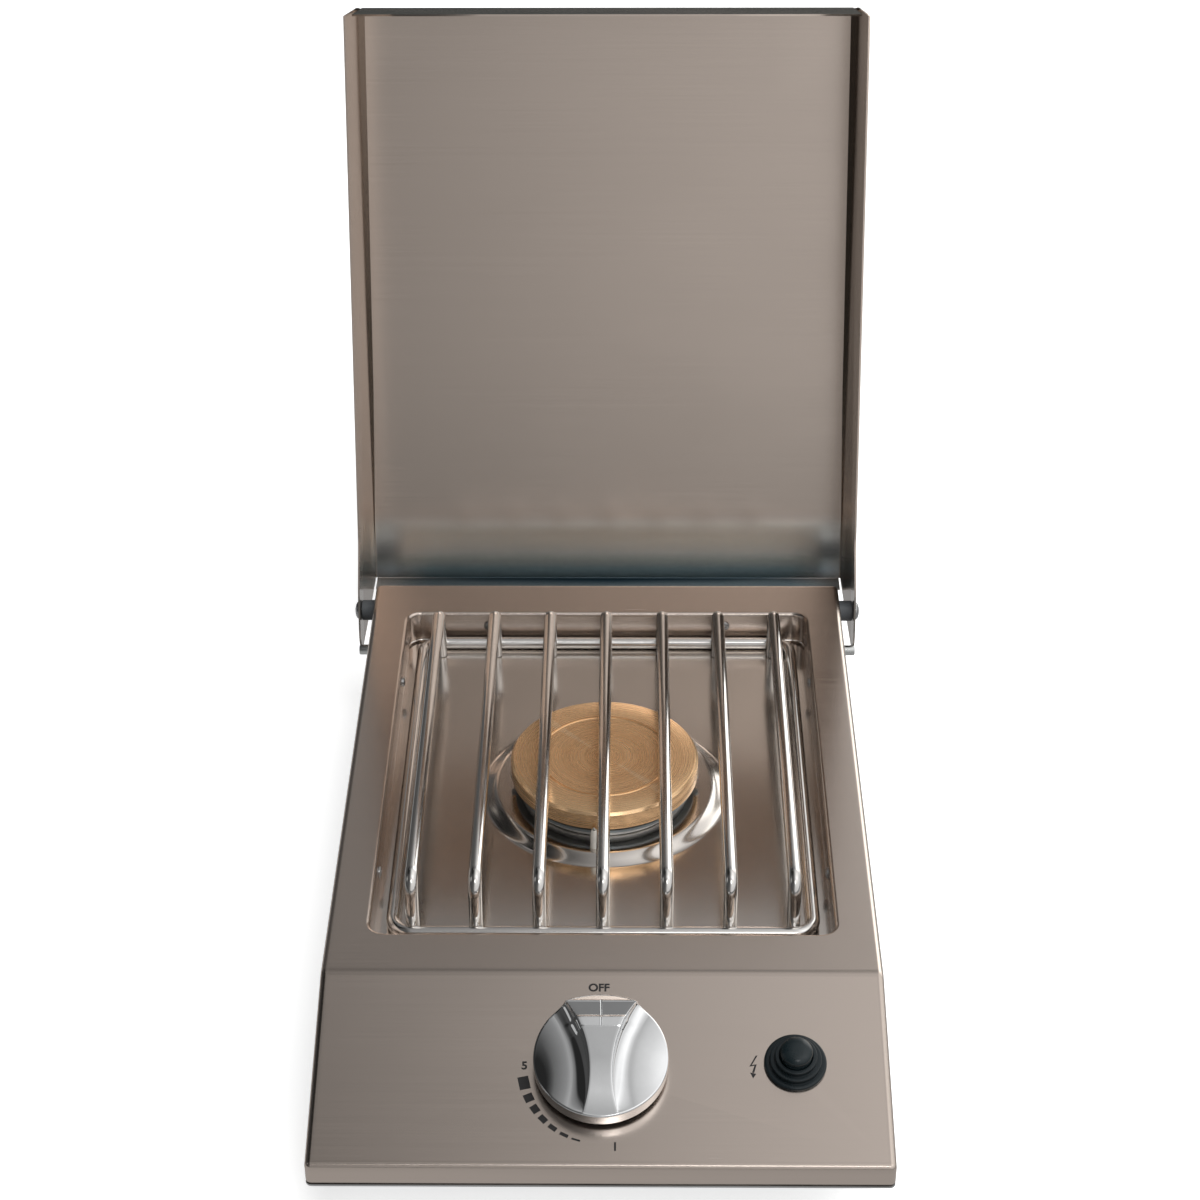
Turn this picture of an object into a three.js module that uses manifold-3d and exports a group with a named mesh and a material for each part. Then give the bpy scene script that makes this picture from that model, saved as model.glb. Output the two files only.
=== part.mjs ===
// Drop-in gas side burner with a folding lid, in millimetres, +Z up, front towards -Y.
// The burner stands on the Z axis and the underside of the lower case lies on Z = 0.
// The lid is shown open, leaning back on its stops; the knob stands at its off mark.

import * as THREE from 'three';
import { ConvexGeometry } from 'three/addons/geometries/ConvexGeometry.js';
import { mergeVertices } from 'three/addons/utils/BufferGeometryUtils.js';
import Module from 'manifold-3d';

const wasm = await Module();
wasm.setup();

// Clearances and cuts

const seatGap = 0.3; // between pieces that rest on each other
const runningGap = 0.35; // around what turns or slides, on the radius
const overrun = 2; // how far a cutter passes the face that it opens
const roundSides = 28; // facets of the large turned pieces
const tubeSides = 20; // facets of the venturi and its socket, the igniter's collar and button
const smallSides = 14; // facets of thin tubes, bosses and holes
const screwSides = 8; // facets of the small screws
const quarterSteps = 3; // facets in a quarter turn of a bend
const flatness = 0.004; // how far merged facets may leave a flat face

// Deck sheet

const sheet = 1.2;
const deckWidth = 317.5;
const deckEdgeRadius = 3.5;
const sideMargin = 24.75;
const recessLength = 325;
const recessCornerRadius = 9;
const rearMargin = 36;
const frontMargin = 32.7;
const rolledEdgeRadius = 2.5;
const recessDepth = 23;
const panelLength = 120.4;
const panelSlope = THREE.MathUtils.degToRad(17.34);
const panelBendRadius = 16;
const lipHeight = 12.6;

// Lower case, whose rim lies on the counter and whose box hangs in the cut-out

const caseDepth = 36;
const caseSideSetback = 18.75;
const caseFrontSetback = 35;
const caseRearSetback = 18;
const caseCornerRadius = 8;
const ventSlotCount = 7;
const ventSlotLength = 16;
const ventSlotWidth = 4;
const ventSlotCorner = 1.8;
const ventSlotPitch = 30;

// Heights and lines that follow

const counterZ = caseDepth;
const lipBottomZ = counterZ + sheet + seatGap;
const lipTopZ = lipBottomZ + lipHeight;
const deckTop = lipTopZ + panelLength * Math.sin(panelSlope);
const rearY = recessLength / 2 + rearMargin;
const bendY = -(recessLength / 2 + frontMargin);
const lipY = bendY - panelLength * Math.cos(panelSlope);
const halfDeck = deckWidth / 2;
const recessWidth = deckWidth - 2 * sideMargin;
const caseWidth = deckWidth - 2 * caseSideSetback;
const halfRecessX = recessWidth / 2;
const halfRecessY = recessLength / 2;
const floorTop = deckTop - recessDepth;
const floorBottom = floorTop - sheet;

// Burner pan: a tray screwed to the outside of the recess walls, with a round plateau pressed up round the burner

const panFlangeHeight = 18;
const panFilletRadius = 3;
const plateauRise = 4;
const ringInnerRadius = 66;
const ringOuterRadius = 78;
const panHoleRadius = 25.2;
const panScrewDrop = 10;
const panScrewSideY = 97;
const panScrewRearX = 80;
const panScrewHeadRadius = 3.2;
const panScrewHeadHeight = 1.5;
const panScrewShankRadius = 1.9;
const panScrewLength = 7;

// Grate: seven bent rods on a closed ring rod

const rodRadius = 4;
const rodSides = 8;
const rodCount = 7;
const rodInset = 11.9; // from the ring's outermost rod centre to the first rod
const rodBendRadius = 10;
const grateRise = 17;
const grateRearY = 154.5;
const grateFrontY = -141.5;
const grateSideGap = 10.5; // from the recess wall to the centre of the ring rod
const grateCornerRadius = 12;

// Burner head, flame ring and cap above the pan

const headRadius = 52;
const headShoulderHeight = 5;
const crownRadius = 46;
const crownWall = 7;
const portHeight = 2.6;
const portSill = 0.4;
const portWidth = 2.2;
const portCount = 24;
const headFloor = 2.4;
const headNeckRadius = 24.5;
const headNeckBore = 18;
const headNeckDrop = 6;
const flameRingRadius = 56;
const flameRingThickness = 1.8;
const flameTabWidth = 5;
const flameTabReach = 2.6;
const capRadius = 58.5;
const capHeight = 12;
const capChamfer = 1.6;
const capGrooveRadius = 40;
const capGrooveWidth = 2.2;
const capGrooveDepth = 1;
const capSpigotDepth = 3.6;
const capSpigotWall = 4;
const capPlate = 4.5;

// Mixing bowl, venturi, shutter and orifice below the pan

const bowlRadius = 44;
const bowlFootRadius = 32;
const bowlDepth = 48;
const bowlWall = 3;
const bowlRimRadius = 50;
const bowlRimThickness = 3;
const venturiRadius = 13;
const venturiWall = 1.5;
const venturiDrop = 31.5;
const venturiMouthRadius = 17;
const venturiMouthLength = 14;
const venturiFlareLength = 12;
const socketWall = 3.2;
const socketEndY = -56;
const socketDepth = 12;
const shutterLength = 16;
const shutterWall = 1.2;
const shutterWindowCount = 4;
const shutterWindowWidth = 9;
const shutterWindowLength = 7.5;
const shutterWindowCorner = 2;
const shutterEyeRadius = 6.5;
const shutterY = -213;
const orificeHexRadius = 6.2;
const orificeHexLength = 6;
const orificeNoseRadius = 3.2;
const orificeNoseLength = 7;
const orificeBore = 0.9;

// Valve, stem and knob, set square to the sloped panel

const knobAlong = 60.2;
const stemRadius = 4;
const stemFlat = 1.2;
const stemShoulderRadius = 6.5;
const stemShoulderHeight = 1.7;
const stemTop = 15;
const stemBottom = -34;
const pushTravel = 3;
const bonnetRadius = 11;
const bonnetHeight = 15;
const bonnetWall = 2;
const bonnetPlateLength = 44;
const bonnetPlateWidth = 24;
const bonnetPlateThickness = 2.5;
const valveScrewX = 17;
const valveScrewRadius = 1.9;
const valveScrewHeadRadius = 3.4;
const valveScrewHeadHeight = 2;
const valveScrewLength = 6;
const seatDiscThickness = 2;
const seatDiscTop = -9;
const valveLength = 28;
const valveWidth = 28;
const valveDepth = 24;
const valveEdgeRadius = 3;
const valveBossRadius = 7.5;
const valveOutletY = -226;
const inletPipeRadius = 6.35;
const inletPipeWall = 1.5;
const inletReach = 17;
const inletNutRadius = 11;
const inletNutLength = 12;
const inletZ = 26;
const inletBossReach = 6;

const knobRadius = 37;
const knobLift = 3.6;
const knobEndHeight = 8.4; // of the grip's top at its lower end
const knobCrown = 17.5;
const knobEdgeRadius = 1.2;
const knobHollowRadius = 30;
const knobHollowHeight = 2.2;
const knobHubRadius = 8;
const knobStepHeight = 1.2;
const knobStepRun = 1.6;
const knobBandLength = 5; // of the strip that rises to the step
const knobBandRise = 0.9;
const knobHeadDrop = 3.4; // from the crown to the foot of the head's long facet
const knobNoseDrop = 8.6; // from the crown to the head's outer edge
const knobWaist = 6.2; // half the width of the grip where it is narrowest
const knobScoopSweep = 90; // radius of the grip's long sides, seen from above
const knobScoopShift = 16;
const knobScoopCove = 9; // width of the hollow foot of the grip's sides
const knobScoopFloor = 4.6;
const knobScoopRise = 1.4; // from the foot to the rim
const knobMarkWidth = 1.2;
const knobMarkDepth = 0.6;
const knobStepShare = 0.52; // of the radius, from the axis to the step across the grip
const knobFacetShare = 0.84; // of the radius, to the foot of the sloping head
const knobSides = 36;
const scoopSteps = 60;

// Igniter push button in the panel

const igniterInset = 52.15; // from the side of the deck
const igniterAlong = 58;
const collarRadius = 17.2;
const collarRise = 2.6;
const collarStepRadius = 14.2;
const collarStepRise = 6;
const collarCrownRadius = 11.6;
const collarCrownRise = 9.4;
const collarNeckRadius = 10.5;
const collarNeckDrop = 10;
const collarChamfer = 0.3;
const buttonRadius = 8.9;
const buttonRise = 16.5;
const buttonDome = 3.4;
const buttonTravel = 5;
const igniterNutRadius = 14.5;
const igniterNutHeight = 5;
const igniterBarrelRadius = 9;
const igniterBarrelLength = 30;
const igniterTabWidth = 4;
const igniterTabLength = 6;
const pinTail = 3;

// Electrode that stands in front of the burner, and its lead

const electrodeX = -6;
const electrodeClearance = 3.4;
const ceramicRadius = 2.3;
const ceramicTipRadius = 1.5;
const ceramicTipLength = 5;
const ceramicTop = -6;
const ceramicBottom = -28;
const pinRadius = 0.8;
const pinReach = 1.6;
const ceramicCollarRadius = 4;
const ceramicCollarHeight = 3;
const clipThickness = 1.2;
const clipWidth = 8;
const clipLength = 20;
const leadRadius = 1.5;
const leadSides = 6;
const leadSteps = 24;
const leadRoute = [[96, -214, 16], [66, -160, 14], [38, -104, 30], [20, -74, 50]]; // between its two ends

// Lid, its pivots and its stops

const lidSideGap = 10.25; // between the side of the deck and the ear, filled by the spacer
const lidReach = 401;
const lidTopAbovePivot = 86;
const lidEdgeBelowPivot = 3;
const lidSheet = 1.2;
const lidBendRadius = 4;
const lidFrontGapToPanel = 0.5;
const lidCornerGap = 1.6;
const lidRearHem = 14;
const pivotDrop = 17;
const pivotInset = 7.2;
const lidLean = THREE.MathUtils.degToRad(17.65);
const earDrop = 13;
const earRadius = 16;
const earLength = 33;
const earFront = 16;
const earBlendFront = 48;
const earBlendRadius = 25;
const boltRadius = 2.5;
const boltHeadRadius = 6;
const boltHeadHeight = 3;
const spacerRadius = 7;
const nutRadius = 4.7;
const nutHeight = 4;
const stopRadius = 3.5;
const stopContact = THREE.MathUtils.degToRad(-135);

// Materials

function finish(color, roughness, metalness) {
  return new THREE.MeshStandardMaterial({ color, roughness, metalness });
}

const finishes = {
  stainless: () => finish(0x9a938c, 0.34, 1),
  polished: () => finish(0xb9b8b5, 0.16, 1),
  chrome: () => finish(0xd8dadb, 0.06, 1),
  brass: () => finish(0xb08a55, 0.38, 1),
  aluminium: () => finish(0x8d8f90, 0.45, 1),
  darkSteel: () => finish(0x3b474c, 0.4, 1),
  zinc: () => finish(0xa7a9a6, 0.38, 1),
  blackPlastic: () => finish(0x16191b, 0.32, 0),
  ceramic: () => finish(0xe9e6de, 0.3, 0),
  wire: () => finish(0x8c2f22, 0.55, 0),
  nylon: () => finish(0x22272a, 0.5, 0),
};

// Solids from geometries, and back

function closedGeometry(geometry) {
  const bare = geometry.clone();
  bare.deleteAttribute('normal');
  bare.deleteAttribute('uv');
  const merged = mergeVertices(bare, 1e-4);
  const source = merged.index.array;
  const position = merged.attributes.position;
  const kept = [];
  for (let i = 0; i < source.length; i += 3) {
    const [a, b, c] = [source[i], source[i + 1], source[i + 2]];
    if (a !== b && b !== c && c !== a) {
      kept.push(a, b, c);
    }
  }
  const corner = [new THREE.Vector3(), new THREE.Vector3(), new THREE.Vector3()];
  let volume = 0;
  for (let i = 0; i < kept.length; i += 3) {
    corner.forEach((point, k) => point.fromBufferAttribute(position, kept[i + k]));
    volume += corner[0].dot(corner[1].clone().cross(corner[2]));
  }
  if (volume < 0) {
    for (let i = 0; i < kept.length; i += 3) {
      [kept[i + 1], kept[i + 2]] = [kept[i + 2], kept[i + 1]];
    }
  }
  merged.setIndex(kept);
  return merged;
}

function solid(geometry) {
  const closed = closedGeometry(geometry);
  return new wasm.Manifold(new wasm.Mesh({
    numProp: 3,
    vertProperties: new Float32Array(closed.attributes.position.array),
    triVerts: new Uint32Array(closed.index.array),
  }));
}

function geometryOf(shape) {
  const mesh = shape.simplify(flatness).getMesh();
  const geometry = new THREE.BufferGeometry();
  geometry.setAttribute('position', new THREE.BufferAttribute(new Float32Array(mesh.vertProperties), 3));
  geometry.setIndex(new THREE.BufferAttribute(new Uint32Array(mesh.triVerts), 1));
  return geometry;
}

function joined(first, ...others) {
  return others.reduce((whole, piece) => whole.add(piece), first);
}

function without(first, ...cutters) {
  return cutters.reduce((whole, cutter) => whole.subtract(cutter), first);
}

function piece(name, shape, material) {
  const geometry = shape instanceof THREE.BufferGeometry ? closedGeometry(shape) : geometryOf(shape);
  const mesh = new THREE.Mesh(geometry, material);
  mesh.name = name;
  return mesh;
}

// Outlines and prisms

function outline(corners, steps = quarterSteps) {
  const points = [];
  corners.forEach(([x, y, radius = 0], i) => {
    const here = new THREE.Vector2(x, y);
    if (radius === 0) {
      points.push(here);
      return;
    }
    const [px, py] = corners[(i + corners.length - 1) % corners.length];
    const [nx, ny] = corners[(i + 1) % corners.length];
    const before = new THREE.Vector2(px, py).sub(here).normalize();
    const after = new THREE.Vector2(nx, ny).sub(here).normalize();
    const half = Math.acos(THREE.MathUtils.clamp(before.dot(after), -1, 1)) / 2;
    const centre = before.clone().add(after).normalize().multiplyScalar(radius / Math.sin(half)).add(here);
    const start = before.clone().multiplyScalar(radius / Math.tan(half)).add(here).sub(centre);
    const end = after.clone().multiplyScalar(radius / Math.tan(half)).add(here).sub(centre);
    const turn = Math.atan2(start.cross(end), start.dot(end));
    for (let k = 0; k <= steps; k += 1) {
      const spoke = start.clone().rotateAround(new THREE.Vector2(), (turn * k) / steps);
      points.push(spoke.add(centre));
    }
  });
  return new THREE.Shape(points);
}

function rectangle(width, length, radius = 0, steps = quarterSteps) {
  const [x, y] = [width / 2, length / 2];
  return outline([[-x, -y, radius], [x, -y, radius], [x, y, radius], [-x, y, radius]], steps);
}

function polygon(radius, sides) {
  const points = [];
  for (let k = 0; k < sides; k += 1) {
    const angle = (2 * Math.PI * k) / sides;
    points.push(new THREE.Vector2(radius * Math.cos(angle), radius * Math.sin(angle)));
  }
  return new THREE.Shape(points);
}

function prismZ(shape, from, to) {
  const geometry = new THREE.ExtrudeGeometry(shape, { depth: to - from, bevelEnabled: false });
  return geometry.translate(0, 0, from);
}

// The outline's first axis lies along Y and its second along Z.
function prismX(shape, from, to) {
  const turn = new THREE.Matrix4().makeBasis(
    new THREE.Vector3(0, 1, 0),
    new THREE.Vector3(0, 0, 1),
    new THREE.Vector3(1, 0, 0),
  );
  return prismZ(shape, from, to).applyMatrix4(turn);
}

// The outline's first axis lies along X and its second along Z.
function prismY(shape, from, to) {
  const turn = new THREE.Matrix4().makeBasis(
    new THREE.Vector3(1, 0, 0),
    new THREE.Vector3(0, 0, 1),
    new THREE.Vector3(0, -1, 0),
  );
  return prismZ(shape, -to, -from).applyMatrix4(turn);
}

function roundZ(radius, from, to, sides = smallSides) {
  return prismZ(polygon(radius, sides), from, to);
}

function roundY(radius, from, to, sides = smallSides) {
  return prismY(polygon(radius, sides), from, to);
}

function roundX(radius, from, to, sides = smallSides) {
  return prismX(polygon(radius, sides), from, to);
}

// A profile of radius and height, turned about Z. It ends on the axis or closes on itself.
function turned(profile, sides = roundSides) {
  const points = profile.map(([radius, height]) => new THREE.Vector2(radius, height));
  if (profile[0][0] > 0) {
    points.push(points[0].clone());
  }
  return new THREE.LatheGeometry(points, sides).rotateX(Math.PI / 2);
}

function arcPoints(centreX, centreY, radius, fromDegrees, toDegrees, steps = quarterSteps) {
  const points = [];
  for (let k = 0; k <= steps; k += 1) {
    const angle = THREE.MathUtils.degToRad(fromDegrees + ((toDegrees - fromDegrees) * k) / steps);
    points.push([centreX + radius * Math.cos(angle), centreY + radius * Math.sin(angle)]);
  }
  return points;
}

// A closed profile of outward offset and height, carried round a rounded rectangle.
function framed(profile, halfX, halfY, radius, steps = quarterSteps) {
  const quadrants = [[1, 1], [-1, 1], [-1, -1], [1, -1]];
  const stations = [];
  quadrants.forEach(([sx, sy], quadrant) => {
    for (let k = 0; k <= steps; k += 1) {
      const angle = (Math.PI / 2) * (quadrant + k / steps);
      stations.push([sx * (halfX - radius), sy * (halfY - radius), Math.cos(angle), Math.sin(angle)]);
    }
  });
  const positions = [];
  stations.forEach(([x, y, cosine, sine]) => {
    profile.forEach(([offset, height]) => {
      positions.push(x + (radius + offset) * cosine, y + (radius + offset) * sine, height);
    });
  });
  const count = profile.length;
  const index = [];
  for (let i = 0; i < stations.length; i += 1) {
    const next = (i + 1) % stations.length;
    for (let j = 0; j < count; j += 1) {
      const after = (j + 1) % count;
      const [a, b, c, d] = [i * count + j, next * count + j, next * count + after, i * count + after];
      index.push(a, b, c, a, c, d);
    }
  }
  const geometry = new THREE.BufferGeometry();
  geometry.setAttribute('position', new THREE.Float32BufferAttribute(positions, 3));
  geometry.setIndex(index);
  return geometry;
}

// A path through given stations, so that straight lengths stay plain and bends stay round.
class StationPath extends THREE.Curve {
  constructor(stations) {
    super();
    this.stations = stations;
  }

  getPoint(t, target = new THREE.Vector3()) {
    const last = this.stations.length - 1;
    const place = THREE.MathUtils.clamp(t, 0, 1) * last;
    const start = Math.min(Math.floor(place), last - 1);
    return target.lerpVectors(this.stations[start], this.stations[start + 1], place - start);
  }

  getUtoTmapping(u) {
    return u;
  }
}

function swept(stations, radius, sides) {
  const path = new StationPath(stations);
  return new THREE.ExtrudeGeometry(polygon(radius, sides), {
    steps: stations.length - 1,
    extrudePath: path,
    bevelEnabled: false,
  });
}

// Places on the sloped panel: X across, distance down the slope from the bend, Z out of the face

function panelSpot(x, along) {
  const spot = new THREE.Group();
  spot.position.set(x, bendY - along * Math.cos(panelSlope), deckTop - along * Math.sin(panelSlope));
  spot.rotation.x = panelSlope;
  spot.updateMatrix();
  return spot;
}

const knobSpot = panelSpot(0, knobAlong);
const igniterSpot = panelSpot(halfDeck - igniterInset, igniterAlong);

// Top deck: one folded sheet with recess walls, sloped panel, front lip and skirts

function deckHull(inset, bottomZ) {
  const radius = deckEdgeRadius - inset;
  const centres = [];
  const sideX = halfDeck - deckEdgeRadius;
  const bendCentreY = bendY + panelBendRadius * Math.tan(panelSlope / 2);
  const bendReach = panelBendRadius - deckEdgeRadius;
  const topCentres = [[rearY - deckEdgeRadius, deckTop - deckEdgeRadius]];
  for (let k = 0; k <= quarterSteps; k += 1) {
    const angle = Math.PI / 2 + (panelSlope * k) / quarterSteps;
    topCentres.push([
      bendCentreY + bendReach * Math.cos(angle),
      deckTop - panelBendRadius + bendReach * Math.sin(angle),
    ]);
  }
  const lipDrop = deckEdgeRadius * (1 / Math.cos(panelSlope) - Math.tan(panelSlope));
  topCentres.push([lipY + deckEdgeRadius, lipTopZ - lipDrop]);
  topCentres.forEach(([y, z]) => centres.push([-sideX, y, z], [sideX, y, z]));
  const points = [];
  centres.forEach(([x, y, z]) => {
    for (let ring = 0; ring <= quarterSteps; ring += 1) {
      const lift = ((Math.PI / 2) * ring) / quarterSteps;
      for (let k = 0; k < 4 * quarterSteps; k += 1) {
        const angle = ((Math.PI / 2) * k) / quarterSteps;
        points.push(new THREE.Vector3(
          x + radius * Math.cos(lift) * Math.cos(angle),
          y + radius * Math.cos(lift) * Math.sin(angle),
          z + radius * Math.sin(lift),
        ));
      }
    }
  });
  [[-sideX, rearY - deckEdgeRadius], [sideX, rearY - deckEdgeRadius],
    [-sideX, lipY + deckEdgeRadius], [sideX, lipY + deckEdgeRadius]].forEach(([x, y]) => {
    for (let k = 0; k < 4 * quarterSteps; k += 1) {
      const angle = ((Math.PI / 2) * k) / quarterSteps;
      points.push(new THREE.Vector3(x + radius * Math.cos(angle), y + radius * Math.sin(angle), bottomZ));
    }
  });
  return new ConvexGeometry(points);
}

// Screw places: point on the inner face of the recess wall and the outward direction
const panScrewPlaces = [
  ['left_rear', -halfRecessX, panScrewSideY, Math.PI],
  ['left_front', -halfRecessX, -panScrewSideY, Math.PI],
  ['right_rear', halfRecessX, panScrewSideY, 0],
  ['right_front', halfRecessX, -panScrewSideY, 0],
  ['rear_left', -panScrewRearX, halfRecessY, Math.PI / 2],
  ['rear_right', panScrewRearX, halfRecessY, Math.PI / 2],
];

function atScrew(geometry, [, x, y, angle]) {
  return geometry.rotateZ(angle).translate(x, y, deckTop - panScrewDrop);
}

function panScrewHoles() {
  return panScrewPlaces.map((place) => {
    const reach = panScrewLength + overrun;
    return solid(atScrew(roundX(panScrewShankRadius + seatGap, -overrun, reach, smallSides), place));
  });
}

function topDeck() {
  const shell = solid(deckHull(0, lipBottomZ)).subtract(solid(deckHull(sheet, lipBottomZ - overrun)));
  const mouth = solid(prismZ(
    rectangle(
      recessWidth + 2 * rolledEdgeRadius,
      recessLength + 2 * rolledEdgeRadius,
      recessCornerRadius + rolledEdgeRadius,
    ),
    deckTop - sheet - overrun,
    deckTop + overrun,
  ));
  const wallBottom = floorTop + panFilletRadius - sheet + seatGap;
  const wallTop = deckTop - rolledEdgeRadius;
  const wall = [
    [0, wallBottom],
    ...arcPoints(rolledEdgeRadius, wallTop, rolledEdgeRadius, 180, 90),
    [rolledEdgeRadius + sheet, deckTop],
    [rolledEdgeRadius + sheet, deckTop - sheet],
    ...arcPoints(rolledEdgeRadius, wallTop, rolledEdgeRadius - sheet, 90, 180),
    [sheet, wallBottom],
  ];
  const walls = solid(framed(wall, halfRecessX, halfRecessY, recessCornerRadius));
  const stemHole = roundZ(stemRadius + 2 * runningGap, -sheet - overrun, overrun);
  const igniterHole = roundZ(collarNeckRadius + seatGap, -sheet - overrun, overrun, tubeSides);
  const valveScrewHoles = [-1, 1].map((side) => {
    const hole = roundZ(valveScrewRadius + seatGap, -sheet - overrun, overrun);
    return solid(hole.translate(side * valveScrewX, 0, 0).applyMatrix4(knobSpot.matrix));
  });
  const pivotHoles = [-1, 1].map((side) => {
    const hole = roundX(boltRadius + seatGap, halfDeck - sheet - overrun, halfDeck + overrun);
    return solid(hole.translate(0, pivotY, pivotZ).scale(side, 1, 1));
  });
  return without(
    joined(without(shell, mouth), walls),
    solid(stemHole.applyMatrix4(knobSpot.matrix)),
    solid(igniterHole.applyMatrix4(igniterSpot.matrix)),
    ...valveScrewHoles,
    ...pivotHoles,
    ...panScrewHoles(),
  );
}

// Lower case: an open box with an outward rim

const caseFrontY = lipY + caseFrontSetback;
const caseRearY = rearY - caseRearSetback;
const caseLength = caseRearY - caseFrontY;
const caseMidY = (caseRearY + caseFrontY) / 2;
const rimLength = rearY - lipY;
const rimMidY = (rearY + lipY) / 2;

function lowerCase() {
  const rim = prismZ(rectangle(deckWidth, rimLength, deckEdgeRadius), counterZ, counterZ + sheet);
  const box = prismZ(rectangle(caseWidth, caseLength, caseCornerRadius), 0, counterZ + sheet);
  const hollow = prismZ(
    rectangle(caseWidth - 2 * sheet, caseLength - 2 * sheet, caseCornerRadius - sheet),
    sheet,
    counterZ + sheet + overrun,
  );
  const slots = [];
  for (let k = 0; k < ventSlotCount; k += 1) {
    const y = caseMidY + ventSlotPitch * (k - (ventSlotCount - 1) / 2);
    const slot = rectangle(ventSlotLength, ventSlotWidth, ventSlotCorner, quarterSteps - 1);
    slots.push(solid(prismX(slot, -caseWidth, caseWidth).translate(0, y, counterZ / 2)));
  }
  const inletHole = roundX(inletPipeRadius + seatGap, -caseWidth / 2 - overrun, -caseWidth / 2 + sheet + overrun);
  return without(
    joined(solid(rim.translate(0, rimMidY, 0)), solid(box.translate(0, caseMidY, 0))),
    solid(hollow.translate(0, caseMidY, 0)),
    ...slots,
    solid(inletHole.translate(0, inletY, inletZ)),
  );
}

// Burner pan

function burnerPan() {
  const inner = sheet + seatGap;
  const outer = inner + sheet;
  const flangeTop = floorTop + panFlangeHeight;
  const fillet = panFilletRadius;
  const flange = [
    [outer, flangeTop],
    [inner, flangeTop],
    ...arcPoints(outer - fillet, floorBottom + fillet, fillet - sheet, 0, -90),
    [-fillet, floorTop],
    [-fillet, floorBottom],
    ...arcPoints(outer - fillet, floorBottom + fillet, fillet, -90, 0),
  ];
  const tray = solid(framed(flange, halfRecessX, halfRecessY, recessCornerRadius));
  const floor = solid(prismZ(
    rectangle(recessWidth - fillet, recessLength - fillet, recessCornerRadius),
    floorBottom,
    floorTop,
  ));
  const well = solid(roundZ(ringOuterRadius, floorBottom - overrun, floorTop + overrun, roundSides));
  const top = [];
  for (let k = 0; k <= quarterSteps + 1; k += 1) {
    const share = k / (quarterSteps + 1);
    const rise = (plateauRise * (1 + Math.cos(Math.PI * share))) / 2;
    top.push([THREE.MathUtils.lerp(ringInnerRadius, ringOuterRadius, share), floorTop + rise]);
  }
  const pressed = [
    [panHoleRadius, floorTop + plateauRise],
    ...top,
    [ringOuterRadius + sheet, floorTop],
    [ringOuterRadius + sheet, floorBottom],
    ...top.map(([radius, height]) => [radius, height - sheet]).reverse(),
    [panHoleRadius, floorTop + plateauRise - sheet],
  ];
  const electrodeHole = roundZ(ceramicRadius + runningGap, floorBottom - overrun, floorTop + plateauRise + overrun);
  return without(
    joined(without(joined(tray, floor), well), solid(turned(pressed))),
    solid(electrodeHole.translate(electrodeX, electrodeY, 0)),
    ...panScrewHoles(),
  );
}

function panScrew(place) {
  const head = [
    [0, -panScrewHeadHeight - seatGap],
    [panScrewHeadRadius * Math.SQRT1_2, -panScrewHeadHeight - seatGap],
    [panScrewHeadRadius, -panScrewHeadHeight / 2 - seatGap],
    [panScrewHeadRadius, -seatGap],
    [panScrewShankRadius, -seatGap],
    [panScrewShankRadius, panScrewLength],
    [0, panScrewLength],
  ];
  return atScrew(turned(head, screwSides).rotateY(Math.PI / 2), place);
}

// Grate

const ringCentreZ = floorTop + seatGap + rodRadius;
const grateHalfWidth = halfRecessX - grateSideGap;
const rodPitch = (2 * (grateHalfWidth - rodInset)) / (rodCount - 1);
const legInset = 2 * rodRadius + seatGap;

function grateRing() {
  const halfLength = (grateRearY - grateFrontY) / 2;
  const section = arcPoints(0, ringCentreZ, rodRadius, 0, 360, rodSides).slice(0, rodSides);
  const loop = framed(section, grateHalfWidth, halfLength, grateCornerRadius, quarterSteps + 1);
  return loop.translate(0, (grateRearY + grateFrontY) / 2, 0);
}

function grateRod(x) {
  const topZ = deckTop + grateRise - rodRadius;
  const footZ = floorTop + seatGap;
  const rearLegY = grateRearY - legInset;
  const frontLegY = grateFrontY + legInset;
  const bendZ = topZ - rodBendRadius;
  const rear = arcPoints(rearLegY - rodBendRadius, bendZ, rodBendRadius, 0, 90, quarterSteps + 1);
  const front = arcPoints(frontLegY + rodBendRadius, bendZ, rodBendRadius, 90, 180, quarterSteps + 1);
  const route = [[rearLegY, footZ], ...rear, ...front, [frontLegY, footZ]];
  return swept(route.map(([y, z]) => new THREE.Vector3(x, y, z)), rodRadius, rodSides);
}

// Burner above the pan

const headBottom = floorTop + plateauRise + seatGap;
const shoulderZ = headBottom + headShoulderHeight;
const flameRingBottom = shoulderZ + seatGap;
const flameRingTop = flameRingBottom + flameRingThickness;
const crownTop = flameRingTop + portHeight;
const capBottom = crownTop + seatGap;
const capTop = capBottom + capHeight;

function burnerHead() {
  const bowlFloor = headBottom + headFloor;
  const body = solid(turned([
    [headNeckBore, headBottom - headNeckDrop],
    [headNeckRadius, headBottom - headNeckDrop],
    [headNeckRadius, headBottom],
    [headRadius, headBottom],
    [headRadius, shoulderZ],
    [crownRadius, shoulderZ],
    [crownRadius, crownTop],
    [crownRadius - crownWall, crownTop],
    [crownRadius - crownWall, bowlFloor],
    [headNeckBore, bowlFloor],
  ]));
  const ports = [];
  for (let k = 0; k < portCount; k += 1) {
    const slot = new THREE.BoxGeometry(2 * crownWall, portWidth, 2 * portHeight);
    slot.translate(crownRadius - crownWall / 2, 0, crownTop + portSill);
    ports.push(solid(slot.rotateZ((2 * Math.PI * (k + 0.5)) / portCount)));
  }
  return without(body, ...ports);
}

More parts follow.
